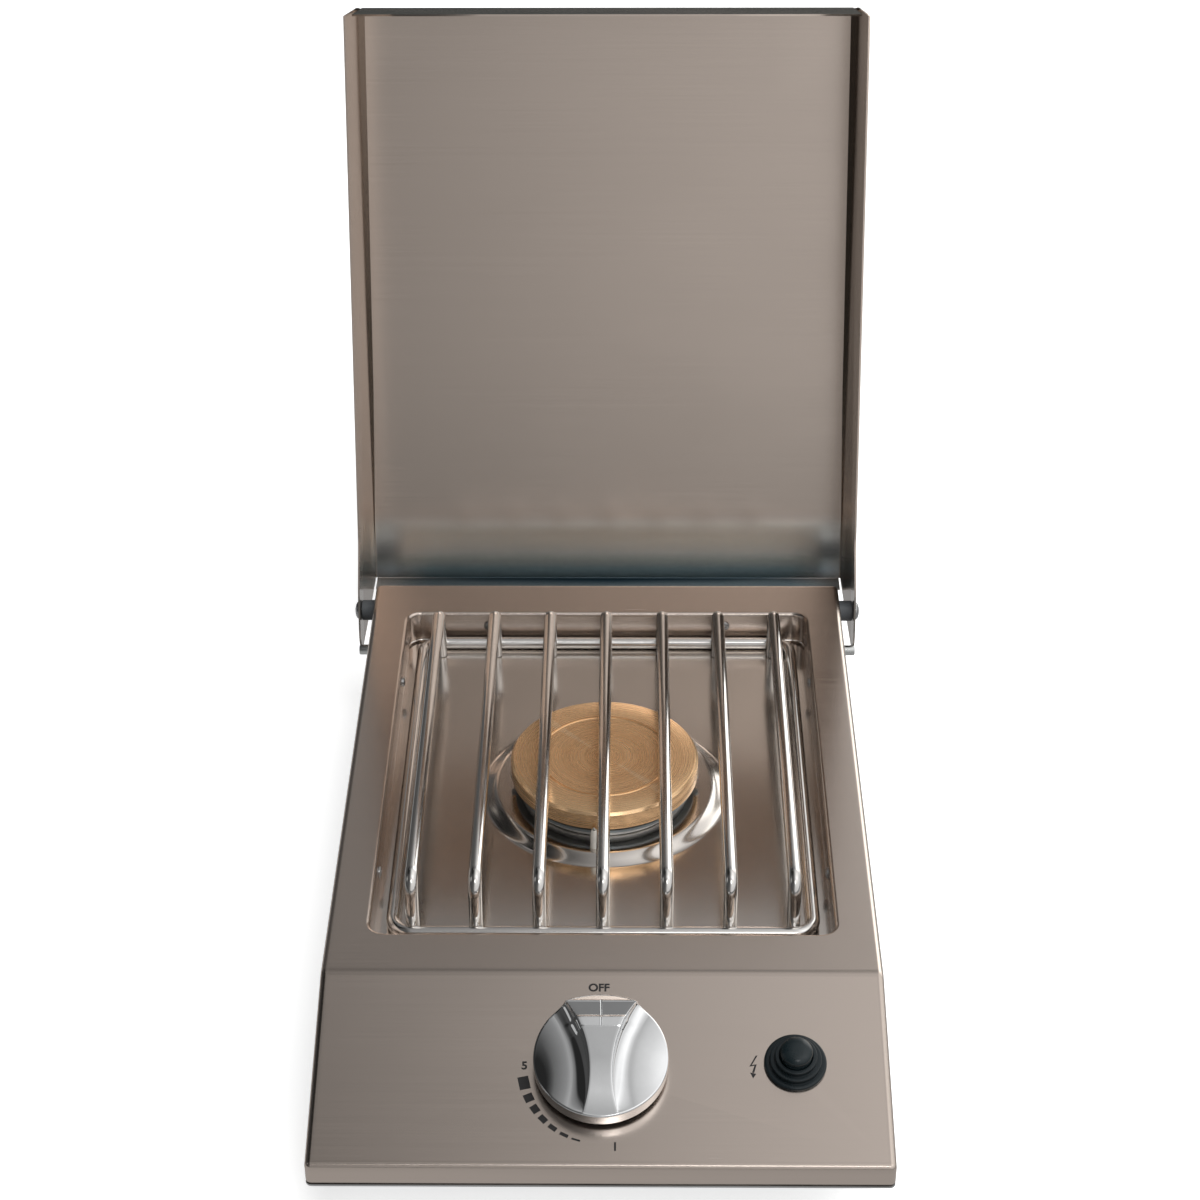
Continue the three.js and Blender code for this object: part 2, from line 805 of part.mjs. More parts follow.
function flameRing() {
  const ring = solid(turned([
    [crownRadius + seatGap, flameRingBottom],
    [flameRingRadius, flameRingBottom],
    [flameRingRadius, flameRingTop],
    [crownRadius + seatGap, flameRingTop],
  ]));
  const tabSpan = 2 * (flameRingRadius + flameTabReach);
  const tabs = solid(prismZ(rectangle(tabSpan, flameTabWidth), flameRingBottom, flameRingTop));
  const eye = solid(roundZ(
    flameRingRadius - flameTabReach,
    flameRingBottom - overrun,
    flameRingTop + overrun,
    roundSides,
  ));
  return joined(ring, without(tabs, eye));
}

function burnerCap() {
  const spigot = crownRadius - crownWall - runningGap;
  const groove = capGrooveWidth / 2;
  return turned([
    [0, capTop - capPlate],
    [spigot - capSpigotWall, capTop - capPlate],
    [spigot - capSpigotWall, capBottom - capSpigotDepth],
    [spigot, capBottom - capSpigotDepth],
    [spigot, capBottom],
    [capRadius - capChamfer / 2, capBottom],
    [capRadius, capBottom + capChamfer / 2],
    [capRadius, capTop - capChamfer],
    [capRadius - capChamfer, capTop],
    [capGrooveRadius + groove, capTop],
    [capGrooveRadius, capTop - capGrooveDepth],
    [capGrooveRadius - groove, capTop],
    [0, capTop],
  ]);
}

// Burner below the pan

const bowlTop = floorTop + plateauRise - sheet - seatGap;
const bowlBottom = bowlTop - bowlDepth;
const venturiZ = bowlTop - venturiDrop;
const venturiEndY = socketEndY + socketDepth;
const venturiStartY = shutterY + shutterWall + seatGap;

function mixingBowl() {
  const cup = solid(turned([
    [0, bowlBottom],
    [bowlFootRadius, bowlBottom],
    [bowlRadius, bowlBottom + bowlDepth / 2],
    [bowlRadius, bowlTop - bowlRimThickness],
    [bowlRimRadius, bowlTop - bowlRimThickness],
    [bowlRimRadius, bowlTop],
    [0, bowlTop],
  ]));
  const hollow = solid(turned([
    [0, bowlBottom + bowlWall],
    [bowlFootRadius - bowlWall, bowlBottom + bowlWall],
    [bowlRadius - bowlWall, bowlBottom + bowlDepth / 2],
    [bowlRadius - bowlWall, bowlTop + overrun],
    [0, bowlTop + overrun],
  ]));
  const bore = venturiRadius + seatGap;
  const socket = solid(roundY(bore + socketWall, socketEndY, 0, tubeSides).translate(0, 0, venturiZ));
  const seat = solid(roundY(bore, socketEndY - overrun, venturiEndY + seatGap, tubeSides).translate(0, 0, venturiZ));
  const throat = solid(roundY(venturiRadius - venturiWall, socketEndY, 0, tubeSides).translate(0, 0, venturiZ));
  return without(joined(cup, socket), hollow, seat, throat);
}

function venturiTube() {
  const mouthEnd = venturiStartY + venturiMouthLength;
  const flareEnd = mouthEnd + venturiFlareLength;
  const profile = [
    [venturiMouthRadius, venturiStartY],
    [venturiMouthRadius, mouthEnd],
    [venturiRadius, flareEnd],
    [venturiRadius, venturiEndY],
    [venturiRadius - venturiWall, venturiEndY],
    [venturiRadius - venturiWall, flareEnd],
    [venturiMouthRadius - venturiWall, mouthEnd],
    [venturiMouthRadius - venturiWall, venturiStartY],
  ];
  return turned(profile, tubeSides).rotateX(-Math.PI / 2).translate(0, 0, venturiZ);
}

function airShutter() {
  const inner = venturiMouthRadius + runningGap;
  const outer = inner + shutterWall;
  const cup = solid(roundY(outer, shutterY, shutterY + shutterLength, roundSides));
  const hollow = solid(roundY(inner, shutterY + shutterWall, shutterY + shutterLength + overrun, roundSides));
  const eye = solid(roundY(shutterEyeRadius, shutterY - overrun, shutterY + shutterWall + overrun));
  const windows = [];
  for (let k = 0; k < shutterWindowCount; k += 1) {
    const opening = rectangle(shutterWindowLength, shutterWindowWidth, shutterWindowCorner);
    const cutter = prismY(opening, shutterY - overrun, shutterY + shutterWall + overrun);
    cutter.translate((inner + shutterEyeRadius) / 2, 0, 0);
    windows.push(solid(cutter.rotateY((2 * Math.PI * (k + 0.5)) / shutterWindowCount)));
  }
  return without(cup, hollow, eye, ...windows).translate([0, 0, venturiZ]);
}

function gasOrifice() {
  const start = valveOutletY + seatGap;
  const hexEnd = start + orificeHexLength;
  const hex = solid(roundY(orificeHexRadius, start, hexEnd, 6));
  const nose = solid(roundY(orificeNoseRadius, start, hexEnd + orificeNoseLength));
  const bore = solid(roundY(orificeBore, start - overrun, hexEnd + orificeNoseLength + overrun));
  return without(joined(hex, nose), bore).translate([0, 0, venturiZ]);
}

// Valve, with its outlet level with the venturi and its inlet towards the left wall

const bonnetTop = -sheet - seatGap;
const bonnetBottom = bonnetTop - bonnetHeight;
const valveTop = bonnetBottom - seatGap;
const valveBottom = valveTop - valveLength;
const bonnetBore = bonnetRadius - bonnetWall;
const valveMid = new THREE.Vector3(0, 0, (valveTop + valveBottom) / 2).applyMatrix4(knobSpot.matrix);
const inletY = valveMid.y;

function valveBonnet() {
  const plate = prismZ(
    rectangle(bonnetPlateLength, bonnetPlateWidth, bonnetPlateWidth / 3),
    bonnetTop - bonnetPlateThickness,
    bonnetTop,
  );
  const barrel = roundZ(bonnetRadius, bonnetBottom, bonnetTop, roundSides / 2);
  const bore = roundZ(bonnetBore, bonnetBottom - overrun, bonnetTop - bonnetPlateThickness, roundSides / 2);
  const eye = roundZ(stemRadius + runningGap, bonnetBottom, bonnetTop + overrun);
  const screwHoles = [-1, 1].map((side) => {
    const hole = roundZ(valveScrewRadius + seatGap, bonnetTop - bonnetPlateThickness - overrun, bonnetTop + overrun);
    return solid(hole.translate(side * valveScrewX, 0, 0));
  });
  return without(joined(solid(plate), solid(barrel)), solid(bore), solid(eye), ...screwHoles);
}

function valveScrew(side) {
  return turned([
    [0, -valveScrewLength],
    [valveScrewRadius, -valveScrewLength],
    [valveScrewRadius, seatGap],
    [valveScrewHeadRadius, seatGap],
    [valveScrewHeadRadius, valveScrewHeadHeight / 2],
    [valveScrewHeadRadius * Math.SQRT1_2, valveScrewHeadHeight],
    [0, valveScrewHeadHeight],
  ], screwSides).translate(side * valveScrewX, 0, 0);
}

function valveSeatDisc() {
  return turned([
    [stemRadius + runningGap, seatDiscTop],
    [bonnetBore - runningGap, seatDiscTop],
    [bonnetBore - runningGap, seatDiscTop - seatDiscThickness],
    [stemRadius + runningGap, seatDiscTop - seatDiscThickness],
  ], smallSides);
}

function stemOutline(gap) {
  const radius = stemRadius + gap;
  const flat = stemRadius - stemFlat + gap;
  const half = Math.acos(flat / radius);
  const points = [];
  for (let k = 0; k <= smallSides; k += 1) {
    const angle = half + ((2 * Math.PI - 2 * half) * k) / smallSides;
    points.push(new THREE.Vector2(radius * Math.sin(angle), radius * Math.cos(angle)));
  }
  return new THREE.Shape(points);
}

function valveStem() {
  const shoulderBottom = seatDiscTop + seatGap;
  const shoulderTop = shoulderBottom + stemShoulderHeight;
  const shaft = solid(roundZ(stemRadius, stemBottom, 0));
  const tang = solid(prismZ(stemOutline(0), -seatGap, stemTop));
  const shoulder = solid(roundZ(stemShoulderRadius, shoulderBottom, shoulderTop));
  return joined(shaft, tang, shoulder);
}

function valveBody() {
  const block = prismZ(rectangle(valveWidth, valveDepth, valveEdgeRadius), valveBottom, valveTop);
  const bore = roundZ(stemRadius + runningGap, stemBottom - pushTravel - overrun, valveTop + overrun);
  const outlet = roundY(valveBossRadius, valveMid.y, valveOutletY).translate(0, 0, venturiZ);
  const inlet = roundX(valveBossRadius, -valveWidth / 2 - inletBossReach, 0).translate(0, inletY, inletZ);
  return without(
    joined(solid(block.applyMatrix4(knobSpot.matrix)), solid(outlet), solid(inlet)),
    solid(bore.applyMatrix4(knobSpot.matrix)),
  );
}

function inletPipe() {
  const start = -valveWidth / 2 - inletBossReach - seatGap;
  const end = -caseWidth / 2 - inletReach;
  const pipe = solid(roundX(inletPipeRadius, end, start));
  const bore = solid(roundX(inletPipeRadius - inletPipeWall, end - overrun, start + overrun));
  return without(pipe, bore).translate([0, inletY, inletZ]);
}

function inletNut() {
  const outerX = -caseWidth / 2 - inletReach + inletPipeRadius;
  const nut = solid(roundX(inletNutRadius, outerX - inletNutLength, outerX, 6));
  const pipeSeat = solid(roundX(inletPipeRadius + seatGap, outerX - inletPipeRadius - seatGap, outerX + overrun));
  const mouth = solid(roundX(inletPipeRadius - inletPipeWall, outerX - inletNutLength - overrun, outerX));
  return without(nut, pipeSeat, mouth).translate([0, inletY, inletZ]);
}

// Knob: a disc whose two wide scoops leave a waisted grip, with a stepped and faceted head at its pointer end

const knobTop = knobLift + knobCrown;

function knobScoop(sign) {
  const foot = knobScoopSweep - knobScoopCove;
  const floorZ = knobLift + knobScoopFloor;
  const inner = knobScoopSweep + knobWaist - knobRadius - overrun;
  const profile = [[inner, knobTop + overrun]];
  for (let k = 0; k <= quarterSteps; k += 1) {
    const share = 1 - k / quarterSteps;
    profile.push([THREE.MathUtils.lerp(foot, inner, share), floorZ + knobScoopRise * share * share]);
  }
  for (let k = 1; k <= 2 * quarterSteps; k += 1) {
    const angle = (Math.PI / 2) * (k / (2 * quarterSteps));
    const rise = (knobTop - floorZ) * (1 - Math.cos(angle));
    profile.push([foot + knobScoopCove * Math.sin(angle), floorZ + rise]);
  }
  profile.push([knobScoopSweep, knobTop + overrun]);
  const scoop = turned(profile, scoopSteps);
  return solid(scoop.translate(sign * (knobWaist + knobScoopSweep), -knobScoopShift, 0));
}

function knobBody() {
  const body = solid(turned([
    [0, knobLift],
    [knobRadius, knobLift],
    [knobRadius - knobEdgeRadius / 3, knobLift + knobScoopFloor],
    [knobRadius - knobEdgeRadius / 3, knobTop],
    [0, knobTop],
  ], knobSides));
  const overhang = knobRadius + overrun;
  const stepY = knobRadius * knobStepShare;
  const facetY = knobRadius * knobFacetShare;
  const bandY = stepY - knobBandLength;
  const bandZ = knobTop - knobBandRise;
  const back = [];
  for (let k = 0; k <= 2 * quarterSteps; k += 1) {
    const share = k / (2 * quarterSteps);
    const z = bandZ - (bandZ - knobLift - knobEndHeight) * share * share;
    back.push(new THREE.Vector2(bandY - (bandY + knobRadius) * share, z));
  }
  const side = solid(prismX(new THREE.Shape([
    new THREE.Vector2(-overhang, -overrun),
    new THREE.Vector2(overhang, -overrun),
    new THREE.Vector2(overhang, knobTop - knobNoseDrop - overrun),
    new THREE.Vector2(knobRadius, knobTop - knobNoseDrop),
    new THREE.Vector2(facetY, knobTop - knobHeadDrop),
    new THREE.Vector2(stepY + knobStepRun, knobTop - knobStepHeight),
    new THREE.Vector2(stepY, knobTop),
    ...back,
    new THREE.Vector2(-overhang, knobLift + knobEndHeight - overrun / 2),
  ]), -overhang, overhang));
  const hollow = solid(turned([
    [knobHubRadius, knobLift - overrun],
    [knobHollowRadius, knobLift - overrun],
    [knobHollowRadius, knobLift + knobHollowHeight],
    [knobHubRadius, knobLift + knobHollowHeight],
  ]));
  const stemHole = solid(prismZ(stemOutline(seatGap), -overrun, stemTop + seatGap));
  const mark = solid(new THREE.BoxGeometry(knobMarkWidth, facetY - bandY, 2 * knobMarkDepth)
    .rotateX(-Math.atan2(knobHeadDrop - knobStepHeight, facetY - stepY - knobStepRun))
    .translate(0, (facetY + bandY) / 2, knobTop - (knobStepHeight + knobHeadDrop) / 2 + knobMarkDepth / 2));
  return without(body.intersect(side), knobScoop(-1), knobScoop(1), hollow, stemHole, mark);
}

// Igniter

function igniterCollar() {
  const bore = buttonRadius + runningGap;
  return turned([
    [bore, -collarNeckDrop],
    [collarNeckRadius, -collarNeckDrop],
    [collarNeckRadius, seatGap],
    [collarRadius, seatGap],
    [collarRadius, collarRise / 2],
    [collarRadius - collarRise / 2, collarRise],
    [collarStepRadius, collarRise],
    [collarStepRadius, collarStepRise - collarChamfer],
    [collarStepRadius - collarChamfer, collarStepRise],
    [collarCrownRadius, collarStepRise],
    [collarCrownRadius - collarChamfer, collarCrownRise],
    [bore, collarCrownRise],
  ], tubeSides);
}

function igniterButton() {
  const profile = [[0, -buttonTravel / 2], [buttonRadius, -buttonTravel / 2], [buttonRadius, buttonRise - buttonDome]];
  for (let k = 1; k <= quarterSteps; k += 1) {
    const angle = ((Math.PI / 2) * k) / quarterSteps;
    profile.push([
      buttonRadius * Math.cos(angle) * (k < quarterSteps ? 1 : 0),
      buttonRise - buttonDome + buttonDome * Math.sin(angle),
    ]);
  }
  return turned(profile, tubeSides);
}

function igniterNut() {
  const top = -sheet - seatGap;
  const nut = solid(roundZ(igniterNutRadius, top - igniterNutHeight, top, 6));
  const bore = solid(roundZ(collarNeckRadius + seatGap, top - igniterNutHeight - overrun, top + overrun, tubeSides));
  return without(nut, bore);
}

const barrelTop = -collarNeckDrop - seatGap;
const barrelBottom = barrelTop - igniterBarrelLength;

function igniterBarrel() {
  const barrel = solid(roundZ(igniterBarrelRadius, barrelBottom, barrelTop, roundSides / 2));
  const tab = new THREE.BoxGeometry(igniterTabWidth, sheet, 2 * igniterTabLength).translate(0, 0, barrelBottom);
  return joined(barrel, solid(tab));
}

// Electrode, its clip under the pan and the lead between igniter and electrode

const electrodeY = -(capRadius + electrodeClearance);

function electrodeCeramic() {
  const bore = pinRadius + seatGap;
  const collarTop = floorTop + plateauRise - sheet - seatGap - deckTop;
  const profile = [
    [bore, ceramicBottom],
    [ceramicRadius, ceramicBottom],
    [ceramicRadius, collarTop - ceramicCollarHeight],
    [ceramicCollarRadius, collarTop - ceramicCollarHeight],
    [ceramicCollarRadius, collarTop],
    [ceramicRadius, collarTop],
    [ceramicRadius, ceramicTop - ceramicTipLength],
    [ceramicTipRadius, ceramicTop],
    [bore, ceramicTop],
  ];
  return turned(profile, smallSides).translate(electrodeX, electrodeY, deckTop);
}

function electrodePin() {
  const pin = roundZ(pinRadius, ceramicBottom - pinTail, ceramicTop + pinReach, smallSides / 2);
  return pin.translate(electrodeX, electrodeY, deckTop);
}

function electrodeClip() {
  const plateau = floorTop + plateauRise - sheet - seatGap;
  const top = plateau - ceramicCollarHeight - seatGap;
  const shift = (clipLength - clipWidth) / 2;
  const plate = prismZ(rectangle(clipLength, clipWidth), top - clipThickness, top).translate(shift, 0, 0);
  const foot = prismZ(rectangle(clipThickness, clipWidth), top - clipThickness, plateau);
  foot.translate(shift + (clipLength - clipThickness) / 2, 0, 0);
  const eye = roundZ(ceramicRadius + seatGap, top - clipThickness - overrun, top + overrun);
  return without(joined(solid(plate), solid(foot)), solid(eye)).translate([electrodeX, electrodeY, 0]);
}

function ignitionLead() {
  const start = new THREE.Vector3(0, 0, barrelBottom - igniterTabLength - leadRadius - seatGap)
    .applyMatrix4(igniterSpot.matrix);
  const endZ = deckTop + ceramicBottom - pinTail - leadRadius - seatGap;
  const route = new THREE.CatmullRomCurve3([
    start,
    ...leadRoute.map((place) => new THREE.Vector3(...place)),
    new THREE.Vector3(electrodeX, electrodeY, endZ),
  ]);
  return new THREE.ExtrudeGeometry(polygon(leadRadius, leadSides), {
    steps: leadSteps,
    extrudePath: route,
    bevelEnabled: false,
  });
}

// Lid in its closed attitude, with its pivot axis on X through the origin

const pivotY = rearY - pivotInset;
const pivotZ = deckTop - pivotDrop;
const halfLid = halfDeck + lidSideGap + lidSheet;

function lidShell() {
  const bottom = -earDrop - overrun;
  const slant = Math.tan(lidLean);
  const rearTop = -earLength + (lidTopAbovePivot + earDrop) * slant;
  const gutter = (inset) => prismY(outline([
    [-halfLid + inset, bottom - overrun],
    [halfLid - inset, bottom - overrun],
    [halfLid - inset, lidTopAbovePivot - inset, lidBendRadius - inset],
    [-halfLid + inset, lidTopAbovePivot - inset, lidBendRadius - inset],
  ]), -lidReach - overrun, earLength + overrun);
  const profile = (inset) => [
    [-lidReach + inset, -lidEdgeBelowPivot],
    [-earBlendFront, -lidEdgeBelowPivot, earBlendRadius],
    [-earFront, -earDrop, earBlendRadius],
    [earLength, -earDrop, earRadius],
    [-rearTop, lidTopAbovePivot],
    [-lidReach + inset, lidTopAbovePivot, lidBendRadius],
  ];
  const channel = solid(gutter(0)).subtract(solid(gutter(lidSheet)));
  const trimmed = channel.intersect(solid(prismX(outline(profile(0)), -halfLid - overrun, halfLid + overrun)));
  const panelGap = lidReach - pivotY + bendY;
  const frontEdge = panelGap * Math.tan(panelSlope);
  const flangeEdge = pivotDrop - frontEdge + lidFrontGapToPanel;
  const flangeHalf = halfLid - lidSheet - lidCornerGap;
  const bendTop = lidTopAbovePivot - lidBendRadius;
  const bendFront = -lidReach + lidBendRadius;
  const front = [
    ...arcPoints(bendFront, bendTop, lidBendRadius, 90, 180),
    [-lidReach, flangeEdge],
    [-lidReach + lidSheet, flangeEdge],
    ...arcPoints(bendFront, bendTop, lidBendRadius - lidSheet, 180, 90),
  ];
  const frontFlange = prismX(new THREE.Shape(front.map(([y, z]) => new THREE.Vector2(y, z))), -flangeHalf, flangeHalf);
  const hemBottom = lidTopAbovePivot - lidRearHem;
  const hemRun = lidRearHem * slant;
  const hem = prismX(new THREE.Shape([
    new THREE.Vector2(-rearTop, lidTopAbovePivot),
    new THREE.Vector2(-rearTop + hemRun, hemBottom),
    new THREE.Vector2(-rearTop + hemRun - lidSheet, hemBottom),
    new THREE.Vector2(-rearTop - lidSheet, lidTopAbovePivot),
  ]), -flangeHalf, flangeHalf);
  const notches = [-1, 1].map((side) => {
    const notch = new THREE.BoxGeometry(lidCornerGap, 2 * lidBendRadius, 2 * lidBendRadius);
    return solid(notch.translate(side * (flangeHalf + lidCornerGap / 2), -lidReach, lidTopAbovePivot));
  });
  const pivotHoles = solid(roundX(boltRadius + runningGap, -halfLid - overrun, halfLid + overrun));
  return without(joined(trimmed, solid(frontFlange), solid(hem)), ...notches, pivotHoles);
}

function mirrored(shape, side) {
  return side > 0 ? shape : shape.scale([-1, 1, 1]);
}

function pivotBolt(side) {
  const headX = halfLid + runningGap;
  const tipX = halfDeck - sheet - seatGap - nutHeight - boltRadius / 2;
  const profile = [
    [0, tipX],
    [boltRadius, tipX],
    [boltRadius, headX],
    [boltHeadRadius, headX],
    [boltHeadRadius, headX + boltHeadHeight / 2],
    [boltHeadRadius * Math.SQRT1_2, headX + boltHeadHeight],
    [0, headX + boltHeadHeight],
  ];
  const bolt = solid(turned(profile, smallSides).rotateY(Math.PI / 2));
  return mirrored(bolt, side).translate([0, pivotY, pivotZ]);
}

function pivotSpacer(side) {
  const from = halfDeck + seatGap;
  const to = halfLid - lidSheet - runningGap;
  const sleeve = without(solid(roundX(spacerRadius, from, to)), solid(roundX(boltRadius + seatGap, 0, to + overrun)));
  return mirrored(sleeve, side).translate([0, pivotY, pivotZ]);
}

function pivotNut(side) {
  const to = halfDeck - sheet - seatGap;
  const hex = solid(roundX(nutRadius, to - nutHeight, to, 6));
  const nut = without(hex, solid(roundX(boltRadius + seatGap, to - nutHeight - overrun, to + overrun)));
  return mirrored(nut, side).translate([0, pivotY, pivotZ]);
}

// The stop meets the round end of the ear where the open lid leans on it.
function lidStop(side) {
  const slantNormal = new THREE.Vector2(-Math.cos(lidLean), Math.sin(lidLean));
  const centreW = earRadius - earDrop;
  const centreU = -earLength + (earRadius + earRadius * slantNormal.y) / -slantNormal.x;
  const reach = earRadius + stopRadius + seatGap;
  const u = centreU + reach * Math.cos(stopContact);
  const w = centreW + reach * Math.sin(stopContact);
  const y = pivotY + u * Math.sin(lidLean) + w * Math.cos(lidLean);
  const z = pivotZ + u * Math.cos(lidLean) - w * Math.sin(lidLean);
  const stud = solid(roundX(stopRadius, halfDeck + seatGap, halfLid));
  return mirrored(stud, side).translate([0, y, z]);
}

// Assembly

const sideBurner = new THREE.Group();

sideBurner.add(
  piece('top_deck', topDeck(), finishes.stainless()),
  piece('lower_case', lowerCase(), finishes.stainless()),
  piece('burner_pan', burnerPan(), finishes.polished()),
);
panScrewPlaces.forEach((place) => {
  sideBurner.add(piece(`pan_screw_${place[0]}`, panScrew(place), finishes.zinc()));
});

sideBurner.add(piece('grate_ring', grateRing(), finishes.polished()));
for (let k = 0; k < rodCount; k += 1) {
  const x = rodPitch * (k - (rodCount - 1) / 2);
  sideBurner.add(piece(`grate_rod_${k + 1}`, grateRod(x), finishes.polished()));
}

sideBurner.add(
  piece('burner_head', burnerHead(), finishes.aluminium()),
  piece('flame_ring', flameRing(), finishes.darkSteel()),
  piece('burner_cap', burnerCap(), finishes.brass()),
  piece('mixing_bowl', mixingBowl(), finishes.aluminium()),
  piece('venturi_tube', venturiTube(), finishes.zinc()),
  piece('air_shutter', airShutter(), finishes.zinc()),
  piece('gas_orifice', gasOrifice(), finishes.brass()),
  piece('valve_body', valveBody(), finishes.aluminium()),
  piece('inlet_pipe', inletPipe(), finishes.zinc()),
  piece('inlet_nut', inletNut(), finishes.brass()),
  piece('electrode_ceramic', electrodeCeramic(), finishes.ceramic()),
  piece('electrode_pin', electrodePin(), finishes.zinc()),
  piece('electrode_clip', electrodeClip(), finishes.zinc()),
  piece('ignition_lead', ignitionLead(), finishes.wire()),
);

knobSpot.add(
  piece('valve_bonnet', valveBonnet(), finishes.zinc()),
  piece('valve_screw_left', valveScrew(-1), finishes.zinc()),
  piece('valve_screw_right', valveScrew(1), finishes.zinc()),
  piece('valve_seat_disc', valveSeatDisc(), finishes.zinc()),
  piece('valve_stem', valveStem(), finishes.brass()),
  piece('control_knob', knobBody(), finishes.chrome()),
);
igniterSpot.add(
  piece('igniter_collar', igniterCollar(), finishes.blackPlastic()),
  piece('igniter_button', igniterButton(), finishes.blackPlastic()),
  piece('igniter_nut', igniterNut(), finishes.zinc()),
  piece('igniter_barrel', igniterBarrel(), finishes.nylon()),
);
sideBurner.add(knobSpot, igniterSpot);

[['left', -1], ['right', 1]].forEach(([word, side]) => {
  sideBurner.add(
    piece(`pivot_bolt_${word}`, pivotBolt(side), finishes.zinc()),
    piece(`pivot_spacer_${word}`, pivotSpacer(side), finishes.nylon()),
    piece(`pivot_nut_${word}`, pivotNut(side), finishes.zinc()),
    piece(`lid_stop_${word}`, lidStop(side), finishes.zinc()),
  );
});

const lid = new THREE.Group();
lid.position.set(0, pivotY, pivotZ);
lid.rotation.x = -(Math.PI / 2 + lidLean);
lid.add(piece('lid_shell', lidShell(), finishes.stainless()));
sideBurner.add(lid);

export default sideBurner;
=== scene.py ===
"""Fine meshes, finishes, light and camera for a drop-in gas side burner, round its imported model.

Sizes are millimetres until a mesh is made. X runs across the burner, Y from front to back and Z up.
"""

import logging
import math
from collections.abc import Iterable, Iterator, Sequence
from contextlib import contextmanager
from dataclasses import dataclass
from enum import Enum

import bmesh
import bpy
from mathutils import Matrix, Vector
from mathutils.geometry import tessellate_polygon


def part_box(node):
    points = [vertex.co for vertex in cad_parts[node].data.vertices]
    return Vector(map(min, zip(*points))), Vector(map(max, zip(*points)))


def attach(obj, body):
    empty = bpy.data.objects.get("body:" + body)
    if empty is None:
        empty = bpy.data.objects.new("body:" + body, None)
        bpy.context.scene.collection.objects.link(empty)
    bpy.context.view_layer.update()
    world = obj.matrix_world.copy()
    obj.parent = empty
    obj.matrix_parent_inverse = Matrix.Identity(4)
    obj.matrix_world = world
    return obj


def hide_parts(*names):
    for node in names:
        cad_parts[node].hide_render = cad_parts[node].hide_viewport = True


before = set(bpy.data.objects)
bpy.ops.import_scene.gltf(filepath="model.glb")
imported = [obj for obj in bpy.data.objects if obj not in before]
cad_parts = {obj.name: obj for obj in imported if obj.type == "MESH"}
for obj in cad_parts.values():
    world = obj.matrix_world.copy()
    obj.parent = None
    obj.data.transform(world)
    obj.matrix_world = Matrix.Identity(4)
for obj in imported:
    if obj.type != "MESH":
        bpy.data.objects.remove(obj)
log = logging.getLogger("side_burner")

MM = 0.001
FULL_TURN = 2 * math.pi
QUARTER = math.pi / 2
WELD = 0.002
CORNERS = ((-1, -1), (1, -1), (1, 1), (-1, 1))
X_AXIS = Vector((1, 0, 0))
Y_AXIS = Vector((0, 1, 0))
Z_AXIS = Vector((0, 0, 1))

Colour = tuple[float, float, float]
Profile = Sequence[tuple[float, float]]
Stops = Sequence[tuple[float, Colour]]
Greys = Sequence[tuple[float, float]]


def toned(colour: Colour, share: float, lift: float = 0.0) -> Colour:
    """A colour made darker or lighter by a share, then lifted, and held below white."""
    return tuple(min(part * share + lift, 1.0) for part in colour)


@contextmanager
def edited(mesh: bpy.types.Mesh) -> Iterator[bmesh.types.BMesh]:
    """Opens a mesh for editing and writes it back.

    Args:
        mesh: the mesh.

    Yields:
        The mesh as a bmesh.
    """
    work = bmesh.new()
    work.from_mesh(mesh)
    yield work
    work.to_mesh(mesh)
    work.free()


class Body(Enum):
    """The bodies that pieces ride on."""

    BASE = "base"
    GRATE = "grate"
    CAP = "cap"
    KNOB = "knob"
    IGNITER = "igniter"
    LID = "lid"


class Slot(Enum):
    """The material slots of the record."""

    STAINLESS = "brushed_stainless"
    CASE = "case_steel"
    POLISHED = "polished_steel"
    CAST = "cast_aluminium"
    DARK_STEEL = "dark_steel"
    BRASS = "brass"
    ZINC = "zinc_plate"
    CHROME = "chrome"
    PLASTIC = "black_plastic"
    NYLON = "dark_nylon"
    CERAMIC = "white_ceramic"


class Wire:
    """A shader socket that can stand in a sum."""

    def __init__(self, sheet: "NodeSheet", socket: bpy.types.NodeSocket) -> None:
        """Keeps the socket and the sheet of nodes that it belongs to."""
        self.sheet = sheet
        self.socket = socket

    def _worked(self, operation: str, left: "Term", right: "Term") -> "Wire":
        """Adds the Math or Vector Math node of an operation.

        Args:
            operation: the node's operation.
            left: the first term.
            right: the second term.

        Returns:
            The node's result.
        """
        if self.socket.type != "VECTOR":
            return self.sheet.node("ShaderNodeMath", {"operation": operation}, {0: left, 1: right})
        terms = {}
        for place, term in enumerate((left, right)):
            terms[place] = (term, term, term) if isinstance(term, (int, float)) else term
        return self.sheet.node("ShaderNodeVectorMath", {"operation": operation}, terms)

    def __add__(self, other: "Term") -> "Wire":
        """Self plus other."""
        return self._worked("ADD", self, other)

    def __radd__(self, other: "Term") -> "Wire":
        """Other plus self."""
        return self._worked("ADD", other, self)

    def __sub__(self, other: "Term") -> "Wire":
        """Self less other."""
        return self._worked("SUBTRACT", self, other)

    def __rsub__(self, other: "Term") -> "Wire":
        """Other less self."""
        return self._worked("SUBTRACT", other, self)

    def __mul__(self, other: "Term") -> "Wire":
        """Self times other."""
        return self._worked("MULTIPLY", self, other)

    def __rmul__(self, other: "Term") -> "Wire":
        """Other times self."""
        return self._worked("MULTIPLY", other, self)

    def beside(self, output: str) -> "Wire":
        """Another output of the same node."""
        return Wire(self.sheet, self.socket.node.outputs[output])


Term = Wire | float | tuple[float, ...]


